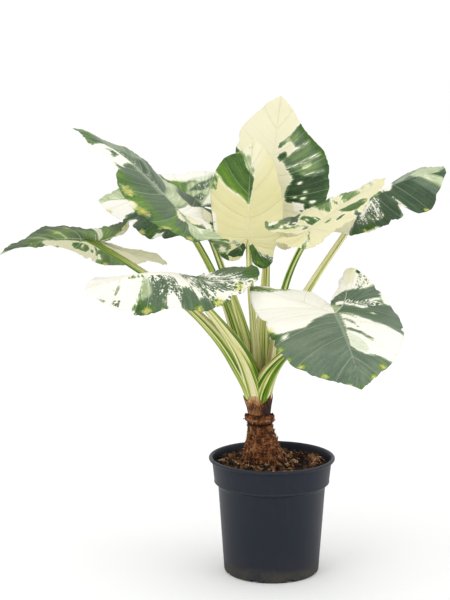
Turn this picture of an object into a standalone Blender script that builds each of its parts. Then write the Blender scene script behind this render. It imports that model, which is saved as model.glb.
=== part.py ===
"""Potted variegated giant taro: nursery pot, bark soil, fibrous trunk and nine leaves.

Metres, +Z up. The origin is the middle of the pot's underside. +X is the right of the front
view and +Y points away from the viewer. Angles of the leaves are degrees, counted from +X.
"""
import math
from dataclasses import dataclass, field

import bmesh
import bpy
import numpy as np
from mathutils import Vector, noise
from mathutils.bvhtree import BVHTree

# Clearance between pieces that touch.
GAP = 0.0003

# Pot
POT_HEIGHT = 0.196
LIP_RADIUS = 0.105
LIP_BEAD = 0.0032
BAND_TOP_RADIUS = 0.0996
BAND_FOOT_RADIUS = 0.0955
BAND_HEIGHT = 0.043
SHOULDER_RADIUS = 0.0893
SHOULDER_HEIGHT = 0.006
FOOT_RADIUS = 0.0795
FOOT_ROUND = 0.005
WALL = 0.002
FLOOR = 0.003
POT_STEPS = 48
SLOT_COUNT = 8
SLOT_SIZE = (0.014, 0.012, 0.009)
SLOT_RING = 0.0755

# Soil
SOIL_TOP = 0.180
SOIL_RELIEF = 0.0025
SOIL_GRAIN = 45.0
SOIL_RINGS = 7

# Trunk, which stands off the pot's axis and leans to the left above the soil line
TRUNK_FOOT = Vector((-0.014, 0.012))
CROWN = Vector((-0.023, 0.012, 0.292))
SOIL_LINE = 0.186
BURIED_RADIUS = 0.0355
BURIED_DEPTH = 0.030
TRUNK_STEPS = 24
TRUNK_RELIEF = 0.0012
TRUNK_GRAIN = (90.0, 90.0, 40.0)

# Radius and height down the trunk: crown, narrow neck, ring of an old leaf, spreading foot
TRUNK_PROFILE = ((0.0253, 0.2920), (0.0215, 0.2865), (0.0185, 0.2780), (0.0165, 0.2680),
                 (0.0168, 0.2620), (0.0230, 0.2585), (0.0236, 0.2545), (0.0212, 0.2500),
                 (0.0222, 0.2380), (0.0246, 0.2260), (0.0282, 0.2130), (0.0304, 0.2000),
                 (0.0335, 0.1900), (0.0355, 0.1845))

# Dry leaf bases around the crown: middle of the arc, width of the arc, height of the point
DRY_SHEATHS = ((285.0, 124.0, 0.306), (165.0, 112.0, 0.301), (48.0, 116.0, 0.299))
SHEATH_FOOT = 0.266
SHEATH_THICKNESS = 0.0010
SHEATH_COLUMNS = 12
SHEATH_ROWS = 5
SHOULDER_DROP = 0.016
SHEATH_TAPER = 0.2

# Height and inner radius of the ring of dry leaf bases
SHEATH_FLARE = ((0.266, 0.0182), (0.2785, 0.0204), (0.292, 0.0267), (0.306, 0.0305))

# Petioles stand in a ring around the middle one
RING_RADIUS = 0.0185
PETIOLE_FOOT_RADIUS = 0.0068
PETIOLE_TOP_RADIUS = 0.0050
PETIOLE_SPANS = 16

# A petiole's top lies a setback in front of the seat, and is raised to it in small steps
PETIOLE_PULL = 0.35
UPPER_SPANS = 5
SEAT_SETBACK = 0.003
SEAT_SEARCH = 0.016
SEAT_STEP = 0.0001
SEAT_GAP = 0.0003

# Blades
EDGE_THICKNESS = 0.0009
RIB_THICKNESS = 0.0030
PLEAT = 0.0012
WAVE = 0.02
VEIN_STEPS = 2
REACH_ROWS = (0.0, 0.07, 0.30, 0.55, 0.80, 1.0)

# Half outline of a blade from the tip back to the sinus, and the point on the ribs where the
# vein to each outline point starts, both as shares of the blade's length (forward, outward).
# The rib runs down the midrib to the petiole, out along the back lobe and back again.
MARGIN = ((1.0, 0.0), (0.89, 0.15), (0.68, 0.34), (0.38, 0.47), (0.06, 0.52), (-0.20, 0.50),
          (-0.41, 0.38), (-0.50, 0.22), (-0.40, 0.085), (-0.20, 0.03), (0.0, 0.0))
RIB = ((1.0, 0.0), (0.66, 0.0), (0.40, 0.0), (0.18, 0.0), (0.0, 0.0), (-0.10, 0.07),
       (-0.21, 0.14), (-0.32, 0.20), (-0.21, 0.14), (-0.10, 0.07), (0.0, 0.0))
LOBE_LENGTH = 0.35
VEIN_SWEEP = 0.035
HALF_WIDTH = 0.5
WAVE_SHIFT = 1.3

# Share of the full rib thickness along the rib, read at vein positions
RIB_VEINS = (0.0, 1.0, 4.0, 5.5, 7.0, 8.5, 10.0)
RIB_SHARES = (0.0, 0.4, 1.0, 0.5, 0.1, 0.5, 1.0)


@dataclass
class Half:
    """One side of a blade: scales on the outline, and angles in degrees.

    A share stretches the vein that ends at each point of the outline.
    """
    width: float = 1.0
    fold: float = 0.0
    curl: float = 10.0
    lobe: float = 1.0
    lobe_fold: float = 0.0
    lobe_bend: float = 0.0
    splay: float = 0.0
    shares: tuple = (1.0,) * len(MARGIN)


@dataclass
class Leaf:
    """A blade on its petiole; the seat is where they meet."""
    name: str
    seat: tuple
    heading: float
    pitch: float
    roll: float
    length: float
    droop: float
    place: float
    leave: tuple
    arrive: tuple
    twist: float = 0.0
    droop_power: float = 1.0
    left: Half = field(default_factory=Half)
    right: Half = field(default_factory=Half)


LEAVES = (
    Leaf("front_right", (0.093, -0.140, 0.461), 278, -10, 4, 0.200, 30,
         place=300, leave=(300, 80), arrive=(315, 40),
         left=Half(1.02, 10, 35, 0.80, 60, 0,
                   shares=(1, 1, 1, 1, 0.98, 0.78, 0.83, 0.75, 0.7, 1.5, 1)),
         right=Half(1.10, 5, 15, 0.90, 22, 0, 0.7,
                    shares=(1, 1.05, 1.2, 1.06, 0.98, 0.82, 0.84, 0.9, 1, 2, 1))),
    Leaf("front_left", (-0.141, -0.115, 0.518), 228, 15, 0, 0.214, 34,
         place=255, leave=(235, 78), arrive=(212, 52), twist=-30,
         left=Half(1.0, -20, 20, 1.0, -5, -36,
                   shares=(1, 1.05, 0.98, 0.82, 0.85, 0.78, 1, 1, 1.3, 1.3, 1)),
         right=Half(0.85, -25, 15, 0.75, 0, -30)),
    Leaf("far_left", (-0.283, 0.000, 0.557), 182, 12, 26, 0.168, 42,
         place=210, leave=(200, 75), arrive=(180, 31),
         left=Half(1.0, 0, 10, 0.60, 24, -46, shares=(1, 1, 1, 1, 0.9, 1, 1, 1, 0.4, 0.6, 1)),
         right=Half(1.0, -10, 10, 1.40, 0, 0,
                    shares=(1, 0.25, 0.5, 0.45, 0.82, 0.85, 0.8, 1, 1, 1, 1))),
    Leaf("upper_left", (-0.148, -0.045, 0.607), 165, 46, 0, 0.228, 30,
         place=165, leave=(170, 82), arrive=(180, 55), droop_power=2.0,
         left=Half(0.80, -8, 12, 0.85, -8, -66,
                   shares=(1, 0.85, 0.70, 1.05, 1, 0.65, 0.5, 1, 1, 1, 1)),
         right=Half(0.90, 4, 10, 0.45, -8, -45, shares=(1, 0.8, 0.6, 0.76, 1, 1, 1, 1, 1, 1, 1))),
    Leaf("rear_left", (-0.119, 0.160, 0.596), 172, 8, -38, 0.185, 15,
         place=120, leave=(125, 82), arrive=(125, 55),
         left=Half(0.95, shares=(1, 1, 0.9, 1.05, 0.7, 0.85, 0.9, 1, 1, 1, 1)),
         right=Half(0.95, shares=(1, 1, 1, 1, 1.05, 1, 1, 1, 1, 1, 1))),
    Leaf("young", (-0.040, 0.030, 0.558), 80, 85, 0, 0.175, 45,
         place=0, leave=(160, 88), arrive=(90, 85), droop_power=2.0,
         left=Half(0.65, 12, 0, 0.45, 12, shares=(1, 0.85, 1.2, 1.2, 0.97, 1, 1, 1, 1, 1, 1)),
         right=Half(0.72, 12, 0, 0.60, 12, shares=(1, 1, 1, 1, 0.9, 0.7, 0.85, 0.9, 1, 1, 1))),
    Leaf("tall", (-0.006, 0.105, 0.618), 75, 60, 0, 0.192, 0,
         place=75, leave=(80, 84), arrive=(85, 78),
         left=Half(0.96, 5, 0, 1.0, 5, shares=(1, 1, 0.97, 0.78, 0.85, 0.9, 1, 1, 1, 1, 1)),
         right=Half(0.98, 5, 0, 1.0, 5, shares=(1, 0.88, 0.84, 1.08, 1.1, 1, 1, 1, 1, 1, 1))),
    Leaf("near_right", (0.059, -0.065, 0.586), 20, 34, 0, 0.150, 8,
         place=345, leave=(345, 82), arrive=(345, 54),
         left=Half(1.0, 12, 10, 1.0, 20, -60, shares=(1, 0.85, 0.62, 0.72, 0.95, 1, 1, 1, 1, 1, 1)),
         right=Half(0.9, 0, 15, 1.0, 0, -50, shares=(1, 1, 1, 1, 0.95, 1, 1.4, 1, 1, 1, 1))),
    Leaf("rear_right", (0.148, 0.050, 0.614), 350, 38, 5, 0.150, 35,
         place=30, leave=(25, 82), arrive=(15, 55), twist=25,
         left=Half(1.1, -12, 10, 1.0, -12, -40, shares=(1, 1.3, 1.25, 1, 1, 1, 1, 1, 1, 1, 1)),
         right=Half(1.1, -22, 15, 1.0, -15, -40,
                    shares=(1, 1.15, 1.3, 0.95, 1, 0.88, 1, 1, 1, 1, 1))),
)

POT_COLOUR = (0.030, 0.034, 0.042)
SOIL_COLOUR = (0.095, 0.052, 0.030)
TRUNK_COLOUR = (0.150, 0.075, 0.038)
SHEATH_COLOUR = (0.260, 0.120, 0.050)
PETIOLE_COLOUR = (0.420, 0.480, 0.200)
BLADE_COLOUR = (0.200, 0.330, 0.150)
YOUNG_COLOUR = (0.780, 0.740, 0.420)


def clear_scene():
    """Remove every object that is already in the scene."""
    for item in list(bpy.data.objects):
        bpy.data.objects.remove(item, do_unlink=True)


def new_collection(name):
    """A collection linked to the scene."""
    group = bpy.data.collections.new(name)
    bpy.context.scene.collection.children.link(group)
    return group


def new_material(name, colour, roughness):
    """A Principled material of one colour."""
    material = bpy.data.materials.new(name)
    material.use_nodes = True
    shader = material.node_tree.nodes["Principled BSDF"]
    shader.inputs["Base Color"].default_value = (*colour, 1.0)
    shader.inputs["Roughness"].default_value = roughness
    shader.inputs["Metallic"].default_value = 0.0
    return material


def new_object(name, mesh, group, material=None):
    """An object for the mesh, in the collection."""
    item = bpy.data.objects.new(name, mesh)
    group.objects.link(item)
    if material:
        mesh.materials.append(material)
    return item


def turned(name, profile, steps, group, material=None):
    """A profile of (radius, height) points turned about Z; the outer side runs downwards."""
    mesh = bpy.data.meshes.new(name)
    points = [(radius, 0.0, height) for radius, height in profile]
    mesh.from_pydata(points, [(i, i + 1) for i in range(len(points) - 1)], [])
    item = new_object(name, mesh, group, material)
    screw = item.modifiers.new("Screw", "SCREW")
    screw.steps = steps
    screw.render_steps = steps
    screw.use_merge_vertices = True
    screw.merge_threshold = 0.0001
    return item


def frozen(item):
    """The object with its modifiers applied to a mesh of its own."""
    bpy.context.view_layer.update()
    evaluated = item.evaluated_get(bpy.context.evaluated_depsgraph_get())
    mesh = bpy.data.meshes.new_from_object(evaluated)
    name = item.name
    group = item.users_collection[0]
    matrix = item.matrix_world.copy()
    bpy.data.objects.remove(item, do_unlink=True)
    mesh.name = name
    solid = bpy.data.objects.new(name, mesh)
    solid.matrix_world = matrix
    group.objects.link(solid)
    return solid


def cut(item, cutters):
    """Take a collection of cutters away from the object."""
    boolean = item.modifiers.new("Cut", "BOOLEAN")
    boolean.operation = "DIFFERENCE"
    boolean.operand_type = "COLLECTION"
    boolean.collection = cutters
    boolean.solver = "EXACT"


def keep_as_cutter(item, group):
    """Move a cutter to its collection, show it as a wire and keep it out of the render."""
    for owner in list(item.users_collection):
        owner.objects.unlink(item)
    group.objects.link(item)
    item.hide_render = True
    item.display_type = "WIRE"


def wall_profile(inset):
    """Pot wall from the lip's foot down to the floor, moved inwards by the inset."""
    band_foot = POT_HEIGHT - BAND_HEIGHT
    shoulder = band_foot - SHOULDER_HEIGHT
    return [(BAND_TOP_RADIUS - inset, POT_HEIGHT - 2 * LIP_BEAD),
            (BAND_FOOT_RADIUS - inset, band_foot),
            (SHOULDER_RADIUS - inset, shoulder),
            (FOOT_RADIUS - inset, FOOT_ROUND)]


def make_pot(group, cutters):
    """Thin-walled pot with a rolled lip and drain slots in its lower corner."""
    bead = (LIP_RADIUS - LIP_BEAD, POT_HEIGHT - LIP_BEAD)
    lip = [(bead[0] + LIP_BEAD * math.cos(turn), bead[1] + LIP_BEAD * math.sin(turn))
           for turn in np.radians((150, 120, 90, 60, 30, 0, -30, -60, -90))]
    corner = [(FOOT_RADIUS - FOOT_ROUND * (1 - math.cos(turn)), FOOT_ROUND * (1 - math.sin(turn)))
              for turn in np.radians((30, 60, 90))]
    inner = wall_profile(WALL)
    inner[-1] = (inner[-1][0], FLOOR)
    profile = [(0.0, FLOOR)] + inner[::-1] + lip + wall_profile(0.0) + corner + [(0.0, 0.0)]
    pot = turned("pot", profile, POT_STEPS, group,
                 new_material("pot_plastic", POT_COLOUR, 0.45))
    slots = bpy.data.collections.new("drain_slots")
    cutters.children.link(slots)
    for index in range(SLOT_COUNT):
        turn = 2 * math.pi * (index + 0.5) / SLOT_COUNT
        bpy.ops.mesh.primitive_cube_add(size=1.0)
        slot = bpy.context.active_object
        slot.name = f"drain_slot_{index + 1}"
        slot.scale = SLOT_SIZE
        slot.location = (SLOT_RING * math.cos(turn), SLOT_RING * math.sin(turn), 0.0)
        slot.rotation_euler.z = turn
        keep_as_cutter(slot, slots)
    cut(pot, slots)


def make_soil(group, cutters):
    """Soil that fills the pot, with a lumpy top and a plain hole for the trunk."""
    side = wall_profile(WALL + GAP)
    inside = [point for point in side if point[1] < SOIL_TOP]
    slope = (side[0][0] - side[1][0]) / (side[0][1] - side[1][1])
    rim = side[1][0] + slope * (SOIL_TOP - side[1][1])
    top = [(rim * index / SOIL_RINGS, SOIL_TOP) for index in range(SOIL_RINGS + 1)]
    inside[-1] = (inside[-1][0], FLOOR + GAP)
    profile = top + inside + [(0.0, FLOOR + GAP)]
    soil = frozen(turned("soil", profile, POT_STEPS, group,
                         new_material("bark_mix", SOIL_COLOUR, 0.95)))
    for vertex in soil.data.vertices:
        place = vertex.co
        if place.z > SOIL_TOP - 0.001 and math.hypot(place.x, place.y) < rim - 0.001:
            place.z += SOIL_RELIEF * noise.noise(place * SOIL_GRAIN)
    height = 4 * BURIED_DEPTH
    bpy.ops.mesh.primitive_cylinder_add(vertices=TRUNK_STEPS, radius=BURIED_RADIUS + GAP,
                                        depth=height)
    hole = bpy.context.active_object
    hole.name = "trunk_hole"
    hole.location = (*TRUNK_FOOT, SOIL_TOP - BURIED_DEPTH - GAP + height / 2)
    hole.rotation_euler.z = math.pi / 2
    holes = bpy.data.collections.new("soil_holes")
    cutters.children.link(holes)
    keep_as_cutter(hole, holes)
    cut(soil, holes)


def trunk_axis(height):
    """Middle of the trunk at a height: upright in the soil and leaning above it."""
    share = max(height - SOIL_LINE, 0.0) / (CROWN.z - SOIL_LINE)
    return TRUNK_FOOT + (CROWN.xy - TRUNK_FOOT) * share


def make_trunk(group):
    """Fibrous trunk: a turned shape, roughened and leaned over towards the crown."""
    buried = SOIL_TOP - BURIED_DEPTH
    profile = [(0.0, CROWN.z), *TRUNK_PROFILE, (BURIED_RADIUS, buried), (0.0, buried)]
    trunk = frozen(turned("trunk", profile, TRUNK_STEPS, group,
                          new_material("trunk_fibre", TRUNK_COLOUR, 0.9)))
    for vertex in trunk.data.vertices:
        place = vertex.co
        radius = math.hypot(place.x, place.y)
        if radius > 0.001 and SOIL_LINE < place.z < CROWN.z - 0.001:
            grain = Vector(part * scale for part, scale in zip(place, TRUNK_GRAIN))
            growth = 1.0 + TRUNK_RELIEF * noise.noise(grain) / radius
            place.x *= growth
            place.y *= growth
        place.xy += trunk_axis(place.z)


def make_dry_sheaths(group):
    """Brown leaf bases: pointed strips of a cone, one behind the edge of the next."""
    material = new_material("dry_sheath", SHEATH_COLOUR, 0.8)
    heights, radii = zip(*SHEATH_FLARE)
    for index, (middle, width, point) in enumerate(DRY_SHEATHS):
        sheet = bmesh.new()
        bmesh.ops.create_grid(sheet, x_segments=SHEATH_COLUMNS, y_segments=SHEATH_ROWS, size=1.0)
        for vertex in sheet.verts:
            across, up = vertex.co.x, 0.5 + 0.5 * vertex.co.y
            top = point - SHOULDER_DROP * abs(across) ** 1.5
            height = SHEATH_FOOT + (top - SHEATH_FOOT) * up
            turn = math.radians(middle + 0.5 * width * across * (1 - SHEATH_TAPER * up))
            radius = float(np.interp(height, heights, radii))
            middle_point = trunk_axis(height)
            vertex.co = (middle_point.x + radius * math.cos(turn),
                         middle_point.y + radius * math.sin(turn), height)
        mesh = bpy.data.meshes.new(f"dry_sheath_{index + 1}")
        sheet.to_mesh(mesh)
        sheet.free()
        item = new_object(f"dry_sheath_{index + 1}", mesh, group, material)
        solidify = item.modifiers.new("Solidify", "SOLIDIFY")
        solidify.thickness = SHEATH_THICKNESS
        solidify.offset = 1.0


def through(points, at):
    """Smooth curve through the points, read at positions counted in points."""
    points = np.array(points)
    last = len(points) - 1
    at = np.clip(at, 0, last - 1e-9)
    start = at.astype(int)
    part = (at - start)[..., None]
    before, first, second, after = (points[np.clip(start + step, 0, last)] for step in (-1, 0, 1, 2))
    return 0.5 * (2 * first + (second - before) * part
                  + (2 * before - 5 * first + 4 * second - after) * part ** 2
                  + (3 * first - before - 3 * second + after) * part ** 3)


def straight(points, at):
    """Straight runs between the points, read at positions counted in points."""
    points = np.array(points)
    last = len(points) - 1
    at = np.clip(at, 0, last - 1e-9)
    start = at.astype(int)
    part = (at - start)[..., None]
    return points[start] * (1 - part) + points[start + 1] * part


def bent_strip(distance, angle, curl):
    """Reach and rise of a strip that starts at an angle and turns down evenly."""
    curl = np.where(np.abs(curl) < 1e-4, 1e-4, curl)
    reach = (np.sin(angle) - np.sin(angle - curl * distance)) / curl
    rise = (np.cos(angle - curl * distance) - np.cos(angle)) / curl
    return reach, rise


def along_midrib(forward, bend, power):
    """Reach, rise and slope along a rib that bends down by the angle over the blade's length."""
    steps = np.linspace(0.0, 1.0, 41)
    angle = bend * steps ** power
    middle = 0.5 * (angle[1:] + angle[:-1])
    width = steps[1] - steps[0]
    reach = np.concatenate([[0.0], np.cumsum(np.cos(middle) * width)])
    rise = np.concatenate([[0.0], np.cumsum(-np.sin(middle) * width)])
    return (np.interp(forward, steps, reach), np.interp(forward, steps, rise),
            np.interp(forward, steps, angle))


def blade_turn(leaf):
    """Rotation from the blade's own axes (forward, left, up) to the world."""
    heading, pitch, roll = np.radians((leaf.heading, leaf.pitch, leaf.roll))
    about_x = np.array([[1, 0, 0], [0, math.cos(roll), -math.sin(roll)],
                        [0, math.sin(roll), math.cos(roll)]])
    about_y = np.array([[math.cos(pitch), 0, -math.sin(pitch)], [0, 1, 0],
                        [math.sin(pitch), 0, math.cos(pitch)]])
    about_z = np.array([[math.cos(heading), -math.sin(heading), 0],
                        [math.sin(heading), math.cos(heading), 0], [0, 0, 1]])
    return about_z @ about_y @ about_x


def blade_points(leaf, side, vein, reach):
    """World points of one half of a blade; side is 1 on the left and -1 on the right."""
    half = leaf.left if side > 0 else leaf.right
    stretch = np.array(half.shares, float)[:, None]
    edge = through(np.array(RIB) + (np.array(MARGIN) - np.array(RIB)) * stretch, vein)
    root = straight(RIB, vein)
    flat = root + (edge - root) * reach[..., None]
    forward = flat[..., 0] - VEIN_SWEEP * np.sin(np.pi * reach) * np.clip(1 - abs(vein - 3) / 3, 0, 1)
    outward = flat[..., 1] * half.width
    forward = np.where(forward < 0, forward * half.lobe, forward)
    outward = outward * (1 + half.splay * np.clip(-forward / LOBE_LENGTH, 0, 1))
    lobe = np.clip(-forward / LOBE_LENGTH, 0, 1)
    lobe = lobe ** 2 * (3 - 2 * lobe)
    fold = np.radians(half.fold * (1 - lobe) + half.lobe_fold * lobe)
    across, rise = bent_strip(outward, fold, math.radians(half.curl) / HALF_WIDTH)
    swell = np.sin(math.pi * vein + (0.0 if side > 0 else WAVE_SHIFT))
    rise = rise + WAVE * swell * reach ** 2 * np.clip(vein / 1.5, 0, 1)
    pleat = np.sin(math.pi * vein) ** 2 * 4 * reach * (1 - reach)
    rise = rise + PLEAT / leaf.length * pleat
    ahead = along_midrib(np.clip(forward, 0, 1), math.radians(leaf.droop), leaf.droop_power)
    behind = along_midrib(np.clip(-forward, 0, 1), 2 * math.radians(half.lobe_bend), 1.0)
    front = forward >= 0
    along = np.where(front, ahead[0], -behind[0])
    height = np.where(front, ahead[1], behind[1])
    slope = np.where(front, -ahead[2], behind[2])
    twist = math.radians(leaf.twist) * np.clip(forward, -0.4, 1)
    sideways = side * across * np.cos(twist) - rise * np.sin(twist)
    lift = side * across * np.sin(twist) + rise * np.cos(twist)
    own = np.stack([along - lift * np.sin(slope), sideways, height + lift * np.cos(slope)], -1)
    return own * leaf.length @ blade_turn(leaf).T + np.array(leaf.seat)


def rib_weight(vein, reach):
    """Share of the full rib thickness: most at the petiole, none away from the ribs."""
    return np.where(reach < 0.01, np.interp(vein, RIB_VEINS, RIB_SHARES), 0.0)


def make_blade(leaf, group, material):
    """Blade: two grids bent to shape, welded along the midrib and thickened downwards."""
    columns = (len(MARGIN) - 1) * VEIN_STEPS
    rows = len(REACH_ROWS) - 1
    sheet = bmesh.new()
    deform = sheet.verts.layers.deform.verify()
    for side in (1, -1):
        before = set(sheet.verts)
        bmesh.ops.create_grid(sheet, x_segments=columns, y_segments=rows, size=1.0)
        fresh = [vertex for vertex in sheet.verts if vertex not in before]
        vein = np.array([(vertex.co.x + 1) / 2 for vertex in fresh]) * (len(MARGIN) - 1)
        row = np.array([(vertex.co.y + 1) / 2 for vertex in fresh]) * rows
        reach = np.array([REACH_ROWS[int(round(value))] for value in row])
        places = blade_points(leaf, side, vein, reach)
        weights = rib_weight(vein, reach)
        for vertex, place, weight in zip(fresh, places, weights):
            vertex.co = place
            vertex[deform][0] = float(weight)
        if side > 0:
            faces = {face for vertex in fresh for face in vertex.link_faces}
            bmesh.ops.reverse_faces(sheet, faces=list(faces))
    bmesh.ops.remove_doubles(sheet, verts=list(sheet.verts), dist=0.00005)
    bmesh.ops.triangulate(sheet, faces=list(sheet.faces), quad_method="FIXED")
    mesh = bpy.data.meshes.new(f"blade_{leaf.name}")
    sheet.to_mesh(mesh)
    sheet.free()
    item = new_object(f"blade_{leaf.name}", mesh, group, material)
    item.vertex_groups.new(name="rib")
    solidify = item.modifiers.new("Solidify", "SOLIDIFY")
    solidify.thickness = RIB_THICKNESS
    solidify.offset = -1.0
    solidify.vertex_group = "rib"
    solidify.thickness_vertex_group = EDGE_THICKNESS / RIB_THICKNESS
    bpy.context.view_layer.update()
    return BVHTree.FromObject(item, bpy.context.evaluated_depsgraph_get())


def heading_vector(heading, rise):
    """Unit vector from a compass angle and an angle above the horizon."""
    heading, rise = math.radians(heading), math.radians(rise)
    return Vector((math.cos(heading) * math.cos(rise), math.sin(heading) * math.cos(rise),
                   math.sin(rise)))


def petiole_foot(leaf):
    """Where the petiole stands on the crown: in the middle, or in the ring around it."""
    lift = GAP + PETIOLE_FOOT_RADIUS * math.cos(math.radians(leaf.leave[1]))
    radius = 0.0 if leaf.name == "young" else RING_RADIUS
    turn = math.radians(leaf.place)
    return CROWN + Vector((radius * math.cos(turn), radius * math.sin(turn), lift))


def petiole_line(leaf, top):
    """Points and radii of the petiole, along a Bezier curve from the crown to its top."""
    foot = petiole_foot(leaf)
    pull = PETIOLE_PULL * (top - foot).length
    first = foot + heading_vector(*leaf.leave) * pull
    second = top - heading_vector(*leaf.arrive) * pull
    part = np.linspace(0, 1, PETIOLE_SPANS + 1)[:, None]
    rest = 1 - part
    line = (np.array(foot) * rest ** 3 + np.array(first) * 3 * rest ** 2 * part
            + np.array(second) * 3 * rest * part ** 2 + np.array(top) * part ** 3)
    return line, (PETIOLE_FOOT_RADIUS * rest + PETIOLE_TOP_RADIUS * part)[:, 0]


def room_to_blade(line, radii, blade):
    """Smallest distance from the surface of the petiole's upper spans to the blade."""
    nearest = 1.0
    for last in range(PETIOLE_SPANS + 1 - UPPER_SPANS, PETIOLE_SPANS + 1):
        along = Vector(line[last] - line[last - 1]).normalized()
        across = along.orthogonal().normalized()
        other = along.cross(across)
        for share in (0.25, 0.5, 0.75, 1.0):
            middle = Vector(line[last - 1] * (1 - share) + line[last] * share)
            radius = radii[last - 1] * (1 - share) + radii[last] * share
            for turn in np.radians(np.arange(0, 360, 20)):
                rim = across * math.cos(turn) + other * math.sin(turn)
                nearest = min(nearest, blade.find_nearest(middle + rim * radius)[3])
    return nearest


def seated_line(leaf, blade):
    """The petiole's line, raised along the blade's normal until it all but meets the rib."""
    forward, _, normal = (Vector(axis) for axis in blade_turn(leaf).T)
    below = Vector(leaf.seat) + forward * SEAT_SETBACK - normal * SEAT_SEARCH
    seated = petiole_line(leaf, below)
    for rise in np.arange(SEAT_STEP, SEAT_SEARCH, SEAT_STEP):
        raised = petiole_line(leaf, below + normal * float(rise))
        if room_to_blade(*raised, blade) < SEAT_GAP:
            break
        seated = raised
    return seated


def make_petiole(leaf, blade, group, material):
    """Petiole: a tapering tube from the crown to the blade."""
    line, radii = seated_line(leaf, blade)
    curve = bpy.data.curves.new(f"petiole_{leaf.name}", "CURVE")
    curve.dimensions = "3D"
    curve.bevel_depth = 1.0
    curve.bevel_resolution = 1
    curve.use_fill_caps = True
    spline = curve.splines.new("POLY")
    spline.points.add(PETIOLE_SPANS)
    for point, place, radius in zip(spline.points, line, radii):
        point.co = (*place, 1.0)
        point.radius = radius
    tube = bpy.data.objects.new(f"petiole_{leaf.name}", curve)
    group.objects.link(tube)
    solid = frozen(tube)
    solid.data.materials.clear()
    solid.data.materials.append(material)
    body = bmesh.new()
    body.from_mesh(solid.data)
    bmesh.ops.remove_doubles(body, verts=list(body.verts), dist=0.00005)
    bmesh.ops.recalc_face_normals(body, faces=list(body.faces))
    body.to_mesh(solid.data)
    body.free()


def build():
    """Model the whole plant in its pot."""
    clear_scene()
    plant = new_collection("potted_variegated_giant_taro")
    cutters = new_collection("cutters")
    make_pot(plant, cutters)
    make_soil(plant, cutters)
    make_trunk(plant)
    make_dry_sheaths(plant)
    petiole = new_material("petiole", PETIOLE_COLOUR, 0.5)
    blade = new_material("blade", BLADE_COLOUR, 0.45)
    young = new_material("young_blade", YOUNG_COLOUR, 0.45)
    for leaf in LEAVES:
        surface = make_blade(leaf, plant, young if leaf.name == "young" else blade)
        make_petiole(leaf, surface, plant, petiole)


build()
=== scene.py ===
"""Potted variegated giant taro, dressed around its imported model.

Metres, +Z up. The origin is the middle of the pot's underside, +X is the right of the front view
and +Y points away from the viewer. Colours are linear.
"""
import math
from dataclasses import dataclass, field

import bmesh
import bpy
import numpy as np
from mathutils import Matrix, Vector, noise


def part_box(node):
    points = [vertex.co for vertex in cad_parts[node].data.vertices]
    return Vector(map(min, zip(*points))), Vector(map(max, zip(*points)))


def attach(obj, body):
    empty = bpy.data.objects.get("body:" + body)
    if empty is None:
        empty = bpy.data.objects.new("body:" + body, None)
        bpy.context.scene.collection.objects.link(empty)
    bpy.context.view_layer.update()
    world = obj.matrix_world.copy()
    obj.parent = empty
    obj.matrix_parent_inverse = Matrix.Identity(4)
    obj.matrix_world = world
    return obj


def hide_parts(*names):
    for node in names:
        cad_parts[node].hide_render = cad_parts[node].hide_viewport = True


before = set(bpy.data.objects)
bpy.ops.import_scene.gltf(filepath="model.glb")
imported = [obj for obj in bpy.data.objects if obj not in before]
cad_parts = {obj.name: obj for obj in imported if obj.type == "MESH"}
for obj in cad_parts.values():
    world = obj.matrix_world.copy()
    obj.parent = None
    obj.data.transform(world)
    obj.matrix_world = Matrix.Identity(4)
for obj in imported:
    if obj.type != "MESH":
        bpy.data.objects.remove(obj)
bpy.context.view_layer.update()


# The pot is one thin shell of charcoal polypropylene, injection moulded with a rolled lip, a
# straight band under it and a tapering body. Drain slots are cut into its lower corner, and
# soil dust clings to its wall.
POT_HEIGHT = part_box("pot")[1].z
LIP_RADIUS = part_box("pot")[1].x
LIP_BEAD = 0.0032
BAND_TOP_RADIUS = 0.0996
BAND_FOOT_RADIUS = 0.0955
BAND_HEIGHT = 0.043
BAND_FOOT = POT_HEIGHT - BAND_HEIGHT
BAND_LEDGE = 0.0007
SHOULDER_RADIUS = 0.0893
SHOULDER_HEIGHT = 0.006
FOOT_RADIUS = 0.0795
FOOT_ROUND = 0.005
FOOT_RECESS = (0.0660, 0.0012)
RECESS_SLOPE = 0.0008
EDGE_BREAK = 0.001
WALL = 0.002
FLOOR = 0.003
FLOOR_FILLET = 0.003
POT_STEPS = 192
WELD = 0.00002
SLOT_COUNT = 8
SLOT_SIZE = (0.014, 0.012, 0.009)
SLOT_RING = 0.0755
SLOT_EDGE = 0.001
CHARCOAL = (0.009, 0.013, 0.023)
# Grey of the rubbed marks, and of the painted highlight along the ledge
SCUFF_AND_HIGHLIGHT_GREY = (0.045, 0.048, 0.054)
DUST_BROWN = (0.098, 0.084, 0.056)
DUST_LINE = (0.014, 0.026)
INNER_WALL = (0.0755, 0.0775)


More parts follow.
